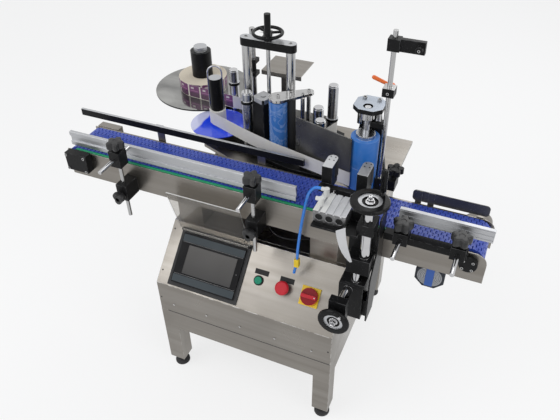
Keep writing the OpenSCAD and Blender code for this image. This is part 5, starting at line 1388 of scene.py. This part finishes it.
class LABELLER_OT_press(bpy.types.Operator):
    """Press unit: columns, blocks, cylinder, carriage and both handwheels"""
    bl_idname = "labeller.press"
    bl_label = "Press unit"

    def execute(self, context):
        dress("press_bracket", "black", [(within(573, 599, -47, 3.1, 583, 609), "chrome")])
        dress("cross_carriage", "black", [(ring_about(601, 20, 0, 12.3, 621.8, 660), "chrome"),
                                          (ring_about(*HEIGHT_AXIS, 0, 12.3, 705, 851), "chrome")])
        dress("lift_block", "black")
        bm = bmesh.new()
        spine = [(561, -10.5, 796, 14.0), (562, -10.9, 786, 13.6), (566, -13.5, 770, 12.6),
                 (572, -17.5, 754, 11.4), (578, -19.0, 740, 9.8), (584, -18.0, 726, 7.6),
                 (589, -15.0, 714, 5.2), (592, -12.5, 706, 3.0)]
        lean_x, lean_z = 0.81, 0.59
        pairs = [[bm.verts.new(at(x + way * half * lean_x, y, z + way * half * lean_z)) for way in (-1, 1)]
                 for x, y, z, half in spine]
        for (a, b), (c, d) in zip(pairs, pairs[1:]):
            bm.faces.new((a, b, d, c))
        bmesh.ops.subdivide_edges(bm, edges=bm.edges, cuts=2, use_grid_fill=True, smooth=0.6)
        bmesh.ops.recalc_face_normals(bm, faces=bm.faces)
        bmesh.ops.solidify(bm, geom=bm.faces, thickness=0.0004)
        settle(bm, "paper_tag", BODY_OF["lift_block"], ["tag_paper"])
        dress("press_cylinder", "aluminium", [(facing(1, -1), "cast_grey"),
                                              (inside(480, 510, 20, 75, 819, 860), "white")])
        bm = bmesh.new()
        bore_cover = [(0, 0.2), (3.4, 0.2), (3.4, 1.2), (6.0, 1.4), (6.4, 2.6), (8.6, 2.8), (8.6, 0), (0, 0)]
        for x in (503.0, 527.5, 552.0):
            add_turned(bm, bore_cover, Matrix.Translation(at(x, 7, 803)) @ TOWARD_FRONT, 0, 32)
        for x in (491.5, 515.2, 539.8, 563.5):
            for z in (789.5, 816.5):
                add_cap_screw(bm, at(x, 3, z), FRONT, 2.2, 1.0, 1, 0)
        settle(bm, "cylinder_covers", BODY_OF["press_cylinder"], ["plastic", "steel_turned"])
        dress("press_carriage", "black", [(inside(464, 582, 15, 104.9, 795, 815), "chrome"),
                                          (lid_above(859), "aluminium")])
        screws("nip_cap_screws", "press_carriage", [(at(x + dx, y + dy, 860), TOP, 1.6, 0.6)
                                                    for x, y in ((479, 163), (567, 167))
                                                    for dy in (4, -10) for dx in (-6, 6)], ("plastic",))
        dress("nip_roller_1", "black_rubber")
        dress("nip_roller_2", "black_rubber")
        upper = Matrix.Translation(at(*HEIGHT_AXIS, 850.3))
        front = Matrix.Translation(at(580, -68.3, 567)) @ TOWARD_FRONT
        for node, place, wheel, spigot in (("height_wheel", upper, (45, 24, True), (30, 5)),
                                           ("depth_wheel", front, (40, 20, False), (16, 8))):
            bm = bmesh.new()
            add_wheel(bm, place, *wheel)
            add_spigot(bm, place, *spigot, 2, 24)
            settle_instead(bm, node, "turned", ["black_gloss", "aluminium", "chrome", "plastic"])
        return {"FINISHED"}


OPERATORS = (LABELLER_OT_studio, LABELLER_OT_lines, LABELLER_OT_cabinet, LABELLER_OT_console,
             LABELLER_OT_conveyor, LABELLER_OT_belt, LABELLER_OT_guides, LABELLER_OT_knobs, LABELLER_OT_head,
             LABELLER_OT_rollers, LABELLER_OT_labels, LABELLER_OT_wrap, LABELLER_OT_press)


class LABELLER_PT_machine(bpy.types.Panel):
    """The steps that dress the labelling machine, in their order"""
    bl_idname = "LABELLER_PT_machine"
    bl_label = "Labelling machine"
    bl_space_type = "VIEW_3D"
    bl_region_type = "UI"
    bl_category = "Labeller"

    def draw(self, context):
        for step in OPERATORS:
            self.layout.operator(step.bl_idname)
        machine = context.scene.labeller
        for group in (machine.sizes, machine.colours, machine.studio):
            box = self.layout.box()
            for name in group.__annotations__:
                box.prop(group, name)


CLASSES = (LabellerSizes, LabellerColours, LabellerStudio, Labeller, *OPERATORS, LABELLER_PT_machine)


def register():
    for made in CLASSES:
        bpy.utils.register_class(made)
    bpy.types.Scene.labeller = PointerProperty(type=Labeller, name="Labelling machine",
                                               description="Sizes, colours and studio of the machine")


def unregister():
    del bpy.types.Scene.labeller
    for made in reversed(CLASSES):
        bpy.utils.unregister_class(made)


def main():
    register()
    for step in OPERATORS:
        group, name = step.bl_idname.split(".")
        getattr(getattr(bpy.ops, group), name)()
    bpy.context.view_layer.update()


if __name__ == "__main__":
    main()
